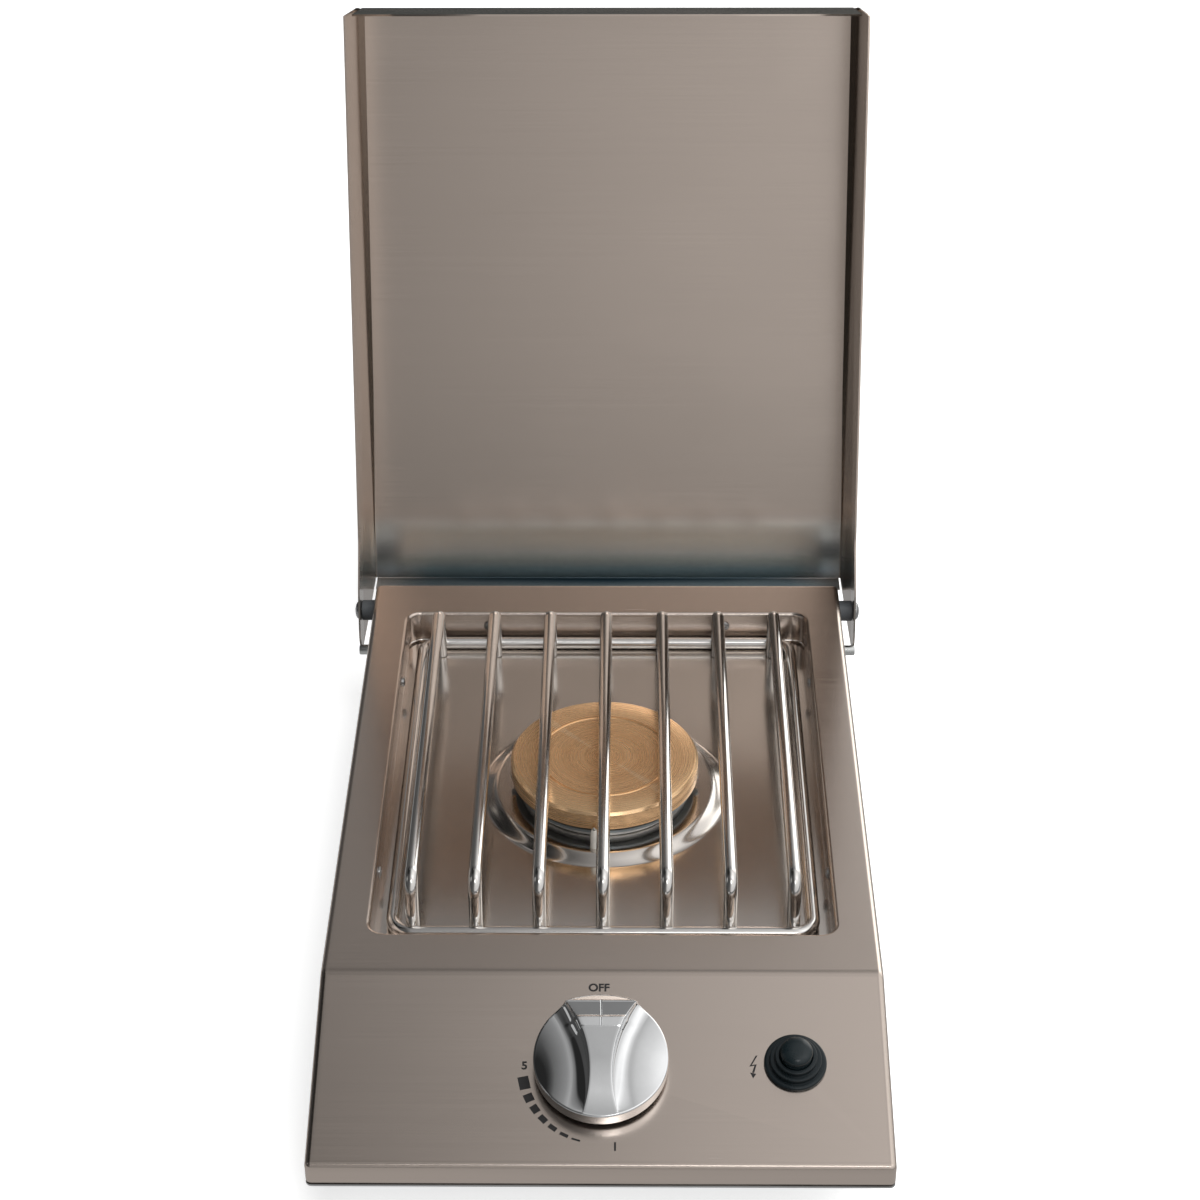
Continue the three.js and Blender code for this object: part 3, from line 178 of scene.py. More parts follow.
class NodeSheet:
    """The nodes of one material or world."""

    def __init__(self, tree: bpy.types.NodeTree) -> None:
        """Empties the tree and keeps it."""
        self.tree = tree
        tree.nodes.clear()

    def node(self, kind: str, settings: dict | None = None, sockets: dict | None = None,
             out: int | str = 0) -> Wire:
        """Adds a node, sets it and fills its sockets.

        Args:
            kind: the node's type.
            settings: attributes such as a Math node's operation; stops sets a ramp.
            sockets: values or wires by socket number or name.
            out: the output that is wanted.

        Returns:
            The wanted output.
        """
        made = self.tree.nodes.new(kind)
        for name, value in (settings or {}).items():
            if name == "stops":
                self._set_stops(made.color_ramp, value)
            else:
                setattr(made, name, value)
        for name, value in (sockets or {}).items():
            socket = made.inputs[name]
            if isinstance(value, Wire):
                self.tree.links.new(value.socket, socket)
            elif socket.type == "RGBA" and len(value) == 3:
                socket.default_value = (*value, 1.0)
            else:
                socket.default_value = value
        return Wire(self, made.outputs[out]) if made.outputs else Wire(self, None)

    @staticmethod
    def _set_stops(foot_shade_colour: bpy.types.ColorRamp, stops: Stops) -> None:
        """Sets a ramp's stops.

        Args:
            foot_shade_colour: the ramp.
            stops: places and colours from low to high.
        """
        while len(foot_shade_colour.elements) > len(stops):
            foot_shade_colour.elements.remove(foot_shade_colour.elements[-1])
        while len(foot_shade_colour.elements) < len(stops):
            foot_shade_colour.elements.new(1.0)
        for element, (place, colour) in zip(foot_shade_colour.elements, stops):
            element.position = place
            element.color = (*colour, 1.0)

    def place(self) -> Wire:
        """The point on the piece, in metres."""
        return self.node("ShaderNodeTexCoord", out="Object")

    def noise(self, stretch: tuple[float, float, float], detail: float = 3.0,
              roughness: float = 0.55) -> Wire:
        """Noise whose scale differs by axis.

        Args:
            stretch: cells per metre along each axis.
            detail: octaves.
            roughness: weight of the fine octaves.

        Returns:
            A value about one half.
        """
        sockets = {"Vector": self.place() * stretch, "Scale": 1.0, "Detail": detail, "Roughness": roughness}
        return self.node("ShaderNodeTexNoise", sockets=sockets, out="Fac")

    def rise(self, value: Wire, span: tuple[float, float]) -> Wire:
        """Zero below a span of a value, one above it and even between."""
        return self.ranged(value, 0.0, 1.0, *span)

    def fall(self, value: Wire, span: tuple[float, float]) -> Wire:
        """One below a span of a value, zero above it and even between."""
        return self.ranged(value, 1.0, 0.0, *span)

    def ranged(self, value: Wire, low: float, high: float, start: float = 0.3, end: float = 0.7) -> Wire:
        """Carries a value from one range to another, held at its ends.

        Args:
            value: the value.
            low: result at start and below.
            high: result at end and above.
            start: lower end of the value's range.
            end: upper end of the value's range.

        Returns:
            The result.
        """
        sockets = {0: value, 1: start, 2: end, 3: low, 4: high}
        return self.node("ShaderNodeMapRange", {"clamp": True}, sockets)

    def mixed(self, factor: Term, first: Term, second: Term) -> Wire:
        """Mixes two colours.

        Args:
            factor: share of the second.
            first: the first colour.
            second: the second colour.

        Returns:
            The colour.
        """
        return self.node("ShaderNodeMix", {"data_type": "RGBA"}, {0: factor, 6: first, 7: second}, out=2)

    def greys(self, value: Wire, stops: Greys) -> Wire:
        """A ramp of greys.

        Args:
            value: the value that picks the grey.
            stops: places and greys from low to high.

        Returns:
            The colour.
        """
        colours = tuple((place, (grey,) * 3) for place, grey in stops)
        return self.node("ShaderNodeValToRGB", {"stops": colours}, {"Fac": value})

    def bump(self, height: Wire, strength: float, distance: float) -> Wire:
        """A normal bent by a height.

        Args:
            height: the height.
            strength: how much of the bend is used.
            distance: metres for a height of one.

        Returns:
            The normal.
        """
        sockets = {"Height": height, "Strength": strength, "Distance": distance}
        return self.node("ShaderNodeBump", sockets=sockets)

    def edges(self, start: float = 0.515, end: float = 0.56) -> Wire:
        """How far a point lies on an outer edge of its mesh, from 0 to 1."""
        pointiness = self.node("ShaderNodeNewGeometry", out="Pointiness")
        return self.rise(pointiness, (start, end))

    def principled(self, sockets: dict) -> None:
        """Ends a material in one Principled shader with the given sockets."""
        shader = self.node("ShaderNodeBsdfPrincipled", sockets=sockets)
        self.node("ShaderNodeOutputMaterial", sockets={"Surface": shader})


class Finish:
    """A finish that makes its material once."""

    name: str
    _made: dict[str, bpy.types.Material] = {}

    def material(self) -> bpy.types.Material:
        """The finish's material, made on first use."""
        if self.name not in Finish._made:
            made = bpy.data.materials.new(self.name)
            made.use_nodes = True
            sheet = NodeSheet(made.node_tree)
            sheet.principled(self.sockets(sheet))
            Finish._made[self.name] = made
        return Finish._made[self.name]

    def sockets(self, sheet: NodeSheet) -> dict[str, Term]:
        """Draws the finish's nodes and returns what goes into its shader."""
        raise NotImplementedError


@dataclass(frozen=True)
class BrushedSheet(Finish):
    """Satin sheet brushed from side to side."""

    name: str
    colour: Colour = (0.62, 0.535, 0.475)
    roughness: float = 0.22
    spread: float = 0.06
    line_strength: float = 0.05
    line_contrast: float = 0.05
    edge_tone: float = 1.2

    def body(self, sheet: NodeSheet, lines: Wire) -> Wire:
        """The sheet's colour, a little darker and lighter by line."""
        shade = sheet.rise(lines, (0.45, 0.9))
        return sheet.mixed(shade, toned(self.colour, 1 - self.line_contrast),
                           toned(self.colour, 1 + self.line_contrast))

    def sockets(self, sheet: NodeSheet) -> dict[str, Term]:
        """Draws lines along X, cloudy hand marks and brighter edges."""
        fine = sheet.noise((9.0, 2600.0, 2600.0), detail=4.0)
        coarse = sheet.noise((2.5, 420.0, 420.0), detail=3.0)
        clouds = sheet.noise((5.0, 9.0, 9.0), detail=3.0)
        lines = fine * 0.7 + coarse * 0.3
        body = self.body(sheet, lines + clouds * 0.35)
        # Colour towards convex edges, lighter than the sheet.
        lighter_edge_colour = toned(self.colour, self.edge_tone)
        half = self.spread / 2
        rough = sheet.ranged(lines, self.roughness - half, self.roughness + half)
        return {
            "Base Color": sheet.mixed(sheet.edges() * 0.5, body, lighter_edge_colour),
            "Metallic": 1.0,
            "Roughness": rough + sheet.ranged(clouds, -0.02, 0.03),
            "Normal": sheet.bump(lines, self.line_strength, 0.0004),
        }


@dataclass(frozen=True)
class ShadedFootSheet(BrushedSheet):
    """Brushed sheet with painted reflection and shade at its foot, next to the burner, and painted shade on
    its ears.
    """

    span: tuple[float, float] = (0.038, 0.090)
    # Painted reflection and shade up the lid's foot: dark at the bottom, paler above, then the sheet's own
    # colour.
    painted_foot_shades: Stops = (
        (0.0, (0.085, 0.118, 0.135)), (0.10, (0.08, 0.12, 0.145)), (0.21, (0.21, 0.31, 0.37)),
        (0.317, (0.38, 0.45, 0.47)), (0.427, (0.60, 0.66, 0.69)), (0.59, (0.73, 0.76, 0.75)),
        (0.754, (0.71, 0.70, 0.66)), (1.0, (0.62, 0.53, 0.465)),
    )
    panel_fade: tuple[float, float] = (0.080, 0.092)
    # Painted shade on the inner faces of the ears.
    ear_painted_shade: Colour = (0.07, 0.09, 0.095)
    ear_depth: tuple[float, float] = (0.250, 0.262)
    ear_height: tuple[float, float] = (0.085, 0.112)

    def body(self, sheet: NodeSheet, lines: Wire) -> Wire:
        """Draws painted reflection and shade by height over the brushed colour at the foot, and painted shade
        on the ears.
        """
        depth = sheet.node("ShaderNodeSeparateXYZ", sockets={0: sheet.place()}, out="Y")
        height = depth.beside("Z")
        share = sheet.rise(height, self.span)
        # Painted reflection and shade of the foot, picked by height.
        foot_shade_colour = sheet.node("ShaderNodeValToRGB", {"stops": self.painted_foot_shades}, {"Fac": share})
        foot = sheet.fall(height, self.panel_fade)
        panel = sheet.mixed(foot, super().body(sheet, lines), foot_shade_colour)
        # Mask of the ears, where painted shade is laid.
        ear_shade_mask = sheet.fall(depth, self.ear_depth) * sheet.fall(height, self.ear_height)
        return sheet.mixed(ear_shade_mask, panel, self.ear_painted_shade)


@dataclass(frozen=True)
class PolishedSteel(Finish):
    """Bright steel with faint smears and hairline scratches."""

    name: str
    colour: Colour = (0.66, 0.65, 0.635)
    roughness: float = 0.14
    smear: float = 0.08
    scratch: float = 0.05
    dull_tone: float = 0.88
    edge_tone: Colour = (0.9, 0.89, 0.87)

    def sockets(self, sheet: NodeSheet) -> dict[str, Term]:
        """Draws smears in the gloss, hairlines in the normal and a darker tint in patches."""
        smears = sheet.noise((14.0, 9.0, 14.0), detail=4.0, roughness=0.6)
        hair = sheet.noise((40.0, 1600.0, 1600.0), detail=3.0)
        body = sheet.mixed(sheet.ranged(smears, 0.0, 0.6), self.colour, toned(self.colour, self.dull_tone))
        return {
            "Base Color": sheet.mixed(sheet.edges() * 0.35, body, self.edge_tone),
            "Metallic": 1.0,
            "Roughness": sheet.ranged(smears, self.roughness - self.smear / 3, self.roughness + self.smear),
            "Normal": sheet.bump(hair, self.scratch, 0.0003),
        }


@dataclass(frozen=True)
class TurnedBrass(Finish):
    """Brass turned on a lathe whose axis is Z."""

    name: str
    colour: Colour = (0.90, 0.58, 0.31)
    roughness: float = 0.24
    metallic: float = 0.8
    ring_scale: float = 2200.0
    ring_tone: Colour = (0.93, 0.66, 0.40)
    edge_tone: Colour = (0.97, 0.72, 0.46)
    heat: Colour = (0.92, 0.84, 0.78)

    def sockets(self, sheet: NodeSheet) -> dict[str, Term]:
        """Draws rings about the axis, heat tint in clouds and brighter edges."""
        across = sheet.node("ShaderNodeSeparateXYZ", sockets={0: sheet.place()})
        forward, up = across.beside("Y"), across.beside("Z")
        radius = sheet.node("ShaderNodeMath", {"operation": "SQRT"}, {0: across * across + forward * forward})
        ring_place = sheet.node("ShaderNodeCombineXYZ",
                                sockets={0: radius * self.ring_scale, 1: up * self.ring_scale})
        ring_noise = {"Vector": ring_place, "Scale": 1.0, "Detail": 3.0}
        rings = sheet.node("ShaderNodeTexNoise", sockets=ring_noise, out="Fac")
        clouds = sheet.noise((26.0, 26.0, 26.0), detail=4.0)
        warm = tuple(part * shift for part, shift in zip(self.colour, self.heat))
        body = sheet.mixed(sheet.ranged(clouds, 0.0, 0.8), self.colour, warm)
        lined = sheet.mixed(sheet.ranged(rings, 0.0, 0.2), body, self.ring_tone)
        return {
            "Base Color": sheet.mixed(sheet.edges() * 0.6, lined, self.edge_tone),
            "Metallic": self.metallic,
            "Roughness": sheet.ranged(rings, self.roughness - 0.06, self.roughness + 0.08)
            + sheet.ranged(clouds, -0.03, 0.05),
            "Normal": sheet.bump(rings, 0.05, 0.0003),
        }


@dataclass(frozen=True)
class CastMetal(Finish):
    """Cast metal with a sandy skin, bare or coated."""

    name: str
    colour: Colour
    metallic: float = 1.0
    roughness: float = 0.5
    grain: float = 0.35
    stain_tone: float = 0.62
    bare_tone: tuple[float, float] = (1.5, 0.06)

    def sockets(self, sheet: NodeSheet) -> dict[str, Term]:
        """Draws a sandy skin, stains and rubbed edges."""
        sand = sheet.noise((1500.0, 1500.0, 1500.0), detail=3.0)
        stains = sheet.noise((32.0, 32.0, 32.0), detail=4.0, roughness=0.65)
        dark, bare = toned(self.colour, self.stain_tone), toned(self.colour, *self.bare_tone)
        body = sheet.mixed(sheet.ranged(stains, 0.0, 0.75, 0.35, 0.72), self.colour, dark)
        return {
            "Base Color": sheet.mixed(sheet.edges() * 0.7, body, bare),
            "Metallic": self.metallic,
            "Roughness": sheet.ranged(stains, self.roughness - 0.08, self.roughness + 0.12),
            "Normal": sheet.bump(sand, self.grain, 0.0004),
        }


@dataclass(frozen=True)
class Plating(Finish):
    """Plated steel or bright chrome."""

    name: str
    colour: Colour
    roughness: float
    spread: float = 0.06
    orange_peel: float = 0.03
    smear_tone: float = 0.9

    def sockets(self, sheet: NodeSheet) -> dict[str, Term]:
        """Draws a faint ripple, finger smears and a slight tint."""
        smears = sheet.noise((60.0, 60.0, 60.0), detail=4.0, roughness=0.6)
        ripple = sheet.noise((700.0, 700.0, 700.0), detail=2.0)
        shade = toned(self.colour, self.smear_tone)
        return {
            "Base Color": sheet.mixed(sheet.ranged(smears, 0.0, 0.7), self.colour, shade),
            "Metallic": 1.0,
            "Roughness": sheet.ranged(smears, self.roughness, self.roughness + self.spread, 0.4, 0.75),
            "Normal": sheet.bump(ripple, self.orange_peel, 0.0002),
        }


@dataclass(frozen=True)
class Moulded(Finish):
    """Moulded plastic, rubber, glaze or ink."""

    name: str
    colour: Colour
    roughness: float = 0.3
    grain: float = 0.06
    rubbed: float = 0.25
    coat: float = 0.0
    gloss: float = 0.5
    rubbed_tone: tuple[float, float] = (1.7, 0.02)

    def sockets(self, sheet: NodeSheet) -> dict[str, Term]:
        """Draws a fine skin, dust in patches and paler rubbed edges."""
        skin = sheet.noise((1900.0, 1900.0, 1900.0), detail=2.0)
        dust = sheet.noise((55.0, 55.0, 55.0), detail=4.0, roughness=0.62)
        paler = toned(self.colour, *self.rubbed_tone)
        body = sheet.mixed(sheet.ranged(dust, 0.0, 0.14), self.colour, paler)
        return {
            "Base Color": sheet.mixed(sheet.edges() * self.rubbed, body, paler),
            "Roughness": sheet.ranged(dust, self.roughness - 0.06, self.roughness + 0.1),
            "Specular IOR Level": self.gloss,
            "Coat Weight": self.coat,
            "Normal": sheet.bump(skin, self.grain, 0.0003),
        }


class Finishes:
    """Every finish of the burner."""

    stainless = BrushedSheet("satin_stainless")
    # The lid carries painted reflection and shade at its foot, and painted shade on its ears.
    lid_sheet = ShadedFootSheet("lid_stainless", (0.62, 0.53, 0.465), 0.20, 0.04, 0.04)
    case_sheet = BrushedSheet("case_sheet", (0.50, 0.505, 0.50), 0.38, 0.12, 0.2)
    pan = PolishedSteel("pan_steel", (0.73, 0.68, 0.635), 0.15, 0.05, 0.03)
    rod = PolishedSteel("rod_steel", (0.80, 0.775, 0.75), 0.12, 0.07, 0.03)
    cap = TurnedBrass("turned_brass")
    fitting_brass = CastMetal("fitting_brass", (0.62, 0.43, 0.20), 1.0, 0.34, 0.08)
    cast = CastMetal("grey_casting", (0.52, 0.53, 0.53), 1.0, 0.40, 0.3)
    valve_casting = CastMetal("valve_casting", (0.46, 0.47, 0.47), 1.0, 0.42, 0.3)
    heat_coat = CastMetal("heat_coat", (0.22, 0.25, 0.265), 0.7, 0.42, 0.12)
    zinc = Plating("zinc_plating", (0.60, 0.61, 0.60), 0.26, 0.12, 0.1)
    screw_steel = Plating("screw_steel", (0.42, 0.42, 0.42), 0.24, 0.1, 0.06)
    chrome = Plating("bright_chrome", (0.87, 0.875, 0.88), 0.035, 0.04, 0.01)
    plastic = Moulded("black_plastic", (0.005, 0.009, 0.011), 0.3, 0.05, 0.12, gloss=0.35)
    button = Moulded("button_plastic", (0.005, 0.010, 0.012), 0.22, 0.04, 0.1, gloss=0.4)
    nylon = Moulded("dark_nylon", (0.05, 0.055, 0.06), 0.5, 0.12, 0.3)
    ceramic = Moulded("white_glaze", (0.80, 0.77, 0.70), 0.22, 0.03, 0.0, 0.4)
    ink = Moulded("printed_ink", (0.012, 0.011, 0.011), 0.5, 0.03, 0.0)
    sleeve = Moulded("lead_sleeve", (0.27, 0.035, 0.02), 0.55, 0.2, 0.25)


class Skin:
    """Points and faces of one piece, in millimetres."""

    def __init__(self) -> None:
        """Starts empty."""
        self.points: list[Vector] = []
        self.faces: list[tuple[int, ...]] = []
        self.facing: Vector | None = None

    def loft(self, rows: Sequence[Sequence[Vector]], around: bool = False,
             along: bool = False) -> "Skin":
        """Joins rows of points with four-sided faces.

        Args:
            rows: rows with the same number of points.
            around: joins each row's last point to its first.
            along: joins the last row to the first.

        Returns:
            This skin.
        """
        start = len(self.points)
        width = len(rows[0])
        for row in rows:
            self.points.extend(Vector(point) for point in row)
        last_row = len(rows) if along else len(rows) - 1
        last_column = width if around else width - 1
        for i in range(last_row):
            for j in range(last_column):
                here, after = start + i * width, start + ((i + 1) % len(rows)) * width
                self.faces.append((here + j, after + j, after + (j + 1) % width, here + (j + 1) % width))
        return self

    def cap(self, ring: Sequence[Vector]) -> "Skin":
        """Closes a flat ring with one face."""
        start = len(self.points)
        self.points.extend(Vector(point) for point in ring)
        self.faces.append(tuple(range(start, start + len(ring))))
        return self

    def plate(self, loops: Sequence[Sequence[Vector]]) -> "Skin":
        """Fills a flat outline that may have holes.

        Args:
            loops: the outline first, then its holes.

        Returns:
            This skin.
        """
        start = len(self.points)
        for loop in loops:
            self.points.extend(Vector(point) for point in loop)
        for triangle in tessellate_polygon([[Vector(point) for point in loop] for loop in loops]):
            self.faces.append(tuple(start + corner for corner in triangle))
        return self

    def slab(self, low: Sequence[Sequence[Vector]], high: Sequence[Sequence[Vector]]) -> "Skin":
        """Makes a plate with holes that has a thickness.

        Args:
            low: the outline and the holes of its lower face.
            high: the same loops of its upper face.

        Returns:
            This skin.
        """
        self.plate(low).plate(high)
        for lower, upper in zip(low, high):
            self.loft([lower, upper], around=True)
        return self

    def moved(self, matrix: Matrix) -> "Skin":
        """Carries every point by a matrix."""
        self.points = [matrix @ point for point in self.points]
        return self

    def grow(self, other: "Skin") -> "Skin":
        """Takes in another skin's points and faces."""
        start = len(self.points)
        self.points.extend(other.points)
        self.faces.extend(tuple(start + corner for corner in face) for face in other.faces)
        return self

    def mesh(self, name: str) -> bpy.types.Mesh:
        """Makes a mesh in metres, welded and with its faces turned outward, or to where the skin faces.

        Args:
            name: the mesh's name.

        Returns:
            The mesh.
        """
        made = bpy.data.meshes.new(name)
        made.from_pydata([point * MM for point in self.points], [], self.faces)
        with edited(made) as work:
            bmesh.ops.remove_doubles(work, verts=work.verts, dist=WELD * MM)
            bmesh.ops.dissolve_degenerate(work, edges=work.edges, dist=WELD * MM)
            bmesh.ops.recalc_face_normals(work, faces=work.faces)
        if self.facing is not None:
            with edited(made) as work:
                for face in work.faces:
                    if face.normal.dot(self.facing) < 0:
                        face.normal_flip()
        return made


class Shapes:
    """Rows and loops that several pieces are made from."""

    @staticmethod
    def arc(centre: Vector, first: Vector, second: Vector, radius: float, start: float, end: float,
            steps: int) -> list[Vector]:
        """Points on an arc.

        Args:
            centre: centre of the arc.
            first: direction of angle zero.
            second: direction of a quarter turn.
            radius: radius of the arc.
            start: first angle.
            end: last angle.
            steps: number of steps.

        Returns:
            The points, both ends among them.
        """
        points = []
        for k in range(steps + 1):
            angle = start + (end - start) * k / steps
            points.append(centre + (first * math.cos(angle) + second * math.sin(angle)) * radius)
        return points

    @staticmethod
    def circle(centre: Vector, first: Vector, second: Vector, radius: float, steps: int) -> list[Vector]:
        """Points of a full circle, the first not repeated."""
        return Shapes.arc(centre, first, second, radius, 0.0, FULL_TURN, steps)[:-1]

    @staticmethod
    def ring(radius: float, z: float, steps: int) -> list[Vector]:
        """Points of a full circle about Z."""
        return Shapes.circle(Z_AXIS * z, X_AXIS, Y_AXIS, radius, steps)

    @staticmethod
    def curve(x: float, z: float, across: float, up: float, steps: int) -> list[tuple[float, float]]:
        """A quarter of an ellipse in a section.

        Args:
            x: centre's first coordinate.
            z: centre's second coordinate.
            across: reach of the first point along the first coordinate.
            up: reach of the last point along the second coordinate.
            steps: number of steps.

        Returns:
            The points, both ends among them.
        """
        angles = [QUARTER * k / steps for k in range(steps + 1)]
        return [(x + across * math.cos(angle), z + up * math.sin(angle)) for angle in angles]

    @staticmethod
    def sideways(y: float, z: float, side: int = 1) -> Matrix:
        """The matrix that lays Z across the burner at a place, towards its right or left side."""
        turn = Matrix.Diagonal((side, 1, 1, 1)) @ Matrix.Rotation(QUARTER, 4, "Y")
        return Matrix.Translation((0.0, y, z)) @ turn

    @staticmethod
    def lathe(profile: Profile, steps: int = 128) -> Skin:
        """Turns a profile of radius and height about Z.

        Args:
            profile: points from one end of the section to the other.
            steps: faces round the piece.

        Returns:
            The skin.
        """
        rows = []
        for k in range(steps):
            angle = FULL_TURN * k / steps
            rows.append([Vector((r * math.cos(angle), r * math.sin(angle), z)) for r, z in profile])
        return Skin().loft(rows, along=True)

    @staticmethod
    def frame_loop(half_x: float, half_y: float, corner: float, offset: float, z: float,
                   steps: int = 10) -> list[Vector]:
        """A rounded rectangle at one height.

        Args:
            half_x: half the width.
            half_y: half the length.
            corner: corner radius.
            offset: how far the loop stands outside the rectangle.
            z: height.
            steps: steps in each corner.

        Returns:
            The loop's points.
        """
        loop = []
        for quadrant, (sx, sy) in enumerate(((1, 1), (-1, 1), (-1, -1), (1, -1))):
            centre = Vector((sx * (half_x - corner), sy * (half_y - corner), z))
            start = QUARTER * quadrant
            loop.extend(Shapes.arc(centre, X_AXIS, Y_AXIS, corner + offset, start, start + QUARTER, steps))
        return loop

    @staticmethod
    def rounded(corners: Sequence[tuple[float, float, float]], steps: int = 8) -> list[tuple[float, float]]:
        """An outline with rounded corners.

        Args:
            corners: places and radii in order.
            steps: steps in each rounded corner.

        Returns:
            The outline's points.
        """
        points = []
        for k, (x, y, radius) in enumerate(corners):
            here = Vector((x, y))
            if radius == 0:
                points.append((x, y))
                continue
            before = (Vector(corners[k - 1][:2]) - here).normalized()
            after = (Vector(corners[(k + 1) % len(corners)][:2]) - here).normalized()
            half = math.acos(max(-1.0, min(1.0, before.dot(after)))) / 2
            centre = here + (before + after).normalized() * (radius / math.sin(half))
            start = here + before * (radius / math.tan(half)) - centre
            end = here + after * (radius / math.tan(half)) - centre
            turn = math.atan2(start.x * end.y - start.y * end.x, start.dot(end))
            for step in range(steps + 1):
                spoke = start.copy()
                spoke.rotate(Matrix.Rotation(turn * step / steps, 2))
                points.append(tuple(centre + spoke))
        return points

    @staticmethod
    def tube(route: Sequence[Vector], side: Vector, radius: float, around: int = 24) -> Skin:
        """A round bar along a route that lies in one plane.

        Args:
            route: centre points in order.
            side: direction square to the plane of the route.
            radius: radius of the bar.
            around: faces round the bar.

        Returns:
            The skin, closed at both ends with a small chamfer.
        """
        rows = []
        chamfer = radius * 0.12
        last = len(route) - 1
        for k, point in enumerate(route):
            along = (route[min(k + 1, last)] - route[max(k - 1, 0)]).normalized()
            across = along.cross(side).normalized()
            if k not in (0, last):
                rows.append(Shapes.circle(point, side, across, radius, around))
                continue
            inner = point + along * chamfer * (1 if k == 0 else -1)
            small = Shapes.circle(point, side, across, radius - chamfer, around)
            full = Shapes.circle(inner, side, across, radius, around)
            rows.extend([small, full] if k == 0 else [full, small])
        skin = Skin().loft(rows, around=True)
        return skin.cap(rows[0]).cap(rows[-1])


class Bench:
    """Turns skins into pieces that ride on their bodies."""

    @staticmethod
    def piece(name: str, skin: Skin, body: Body, slot: Slot, finish: Finish, replaced: Iterable[str] = (),
              smooth: float = 32.0) -> bpy.types.Object:
        """Makes one piece.

        Args:
            name: the piece's name.
            skin: its skin.
            body: the body that it rides on.
            slot: the record's slot; not used.
            finish: its finish.
            replaced: nodes that it stands for.
            smooth: edges sharper than this angle, in degrees, stay sharp.

        Returns:
            The piece.
        """
        mesh = skin.mesh(name)
        made = bpy.data.objects.new(name, mesh)
        bpy.context.scene.collection.objects.link(made)
        mesh.shade_smooth()
        mesh.set_sharp_from_angle(angle=math.radians(smooth))
        mesh.materials.append(finish.material())
        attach(made, body.value)
        nodes = tuple(replaced)
        if nodes:
            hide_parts(*nodes)
        log.info("%s: %d faces, rides on %s", name, len(mesh.polygons), body.value)
        return made

    @staticmethod
    def looks(piece: bpy.types.Object, axis: Vector) -> bool:
        """Whether the largest faces of a piece look along an axis."""
        return sum(face.normal.dot(axis) * face.area for face in piece.data.polygons) > 0

    @staticmethod
    def thicken(piece: bpy.types.Object, thickness: float, inward: bool = True) -> None:
        """Gives a piece its sheet thickness, and lets large flat faces rule the shading of its edges.

        Args:
            piece: the piece.
            thickness: sheet thickness in millimetres.
            inward: whether the sheet lies behind its faces.
        """
        with edited(piece.data) as work:
            for edge in work.edges:
                if edge.is_boundary:
                    edge.smooth = False
        wall = piece.modifiers.new("sheet", "SOLIDIFY")
        wall.thickness = thickness * MM
        wall.offset = -1.0 if inward else 1.0
        wall.use_even_offset = True
        wall.use_quality_normals = True
        Bench.even_shading(piece)

    @staticmethod
    def even_shading(piece: bpy.types.Object) -> None:
        """Lets large flat faces rule the shading of their edges."""
        weighted = piece.modifiers.new("even_shading", "WEIGHTED_NORMAL")
        weighted.keep_sharp = True

    @staticmethod
    def soften(piece: bpy.types.Object, width: float, segments: int = 2, angle: float = 40.0) -> None:
        """Rounds the sharp edges of a piece.

        Args:
            piece: the piece.
            width: width of the rounding in millimetres.
            segments: steps across it.
            angle: edges sharper than this, in degrees, are rounded.
        """
        round_over = piece.modifiers.new("round_over", "BEVEL")
        round_over.width = width * MM
        round_over.segments = segments
        round_over.limit_method = "ANGLE"
        round_over.angle_limit = math.radians(angle)
        round_over.harden_normals = True

    @staticmethod
    def cut(piece: bpy.types.Object, cutter: Skin) -> None:
        """Cuts a skin's space out of a piece and bakes the result into its mesh.

        Args:
            piece: the piece.
            cutter: the closed skin to cut with.
        """
        tool = bpy.data.objects.new("cutter", cutter.mesh("cutter"))
        bpy.context.scene.collection.objects.link(tool)
        chop = piece.modifiers.new("cut", "BOOLEAN")
        chop.operation = "DIFFERENCE"
        chop.solver = "EXACT"
        chop.object = tool
        bpy.context.view_layer.update()
        seen = piece.evaluated_get(bpy.context.evaluated_depsgraph_get())
        cut_mesh = bpy.data.meshes.new_from_object(seen)
        piece.modifiers.remove(chop)
        old = piece.data
        piece.data = cut_mesh
        cut_mesh.name = old.name
        bpy.data.meshes.remove(old)
        tool_mesh = tool.data
        bpy.data.objects.remove(tool)
        bpy.data.meshes.remove(tool_mesh)
        cut_mesh.shade_smooth()
        cut_mesh.set_sharp_from_angle(angle=math.radians(32.0))

    @staticmethod
    def carry(node: str, finish: Finish, rounding: float = 0.0) -> None:
        """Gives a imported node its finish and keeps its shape.

        Args:
            node: the node's name.
            finish: its finish.
            rounding: width of rounded edges in millimetres, or zero.
        """
        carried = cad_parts[node]
        carried.data.materials.clear()
        carried.data.materials.append(finish.material())
        if rounding:
            Bench.soften(carried, rounding)


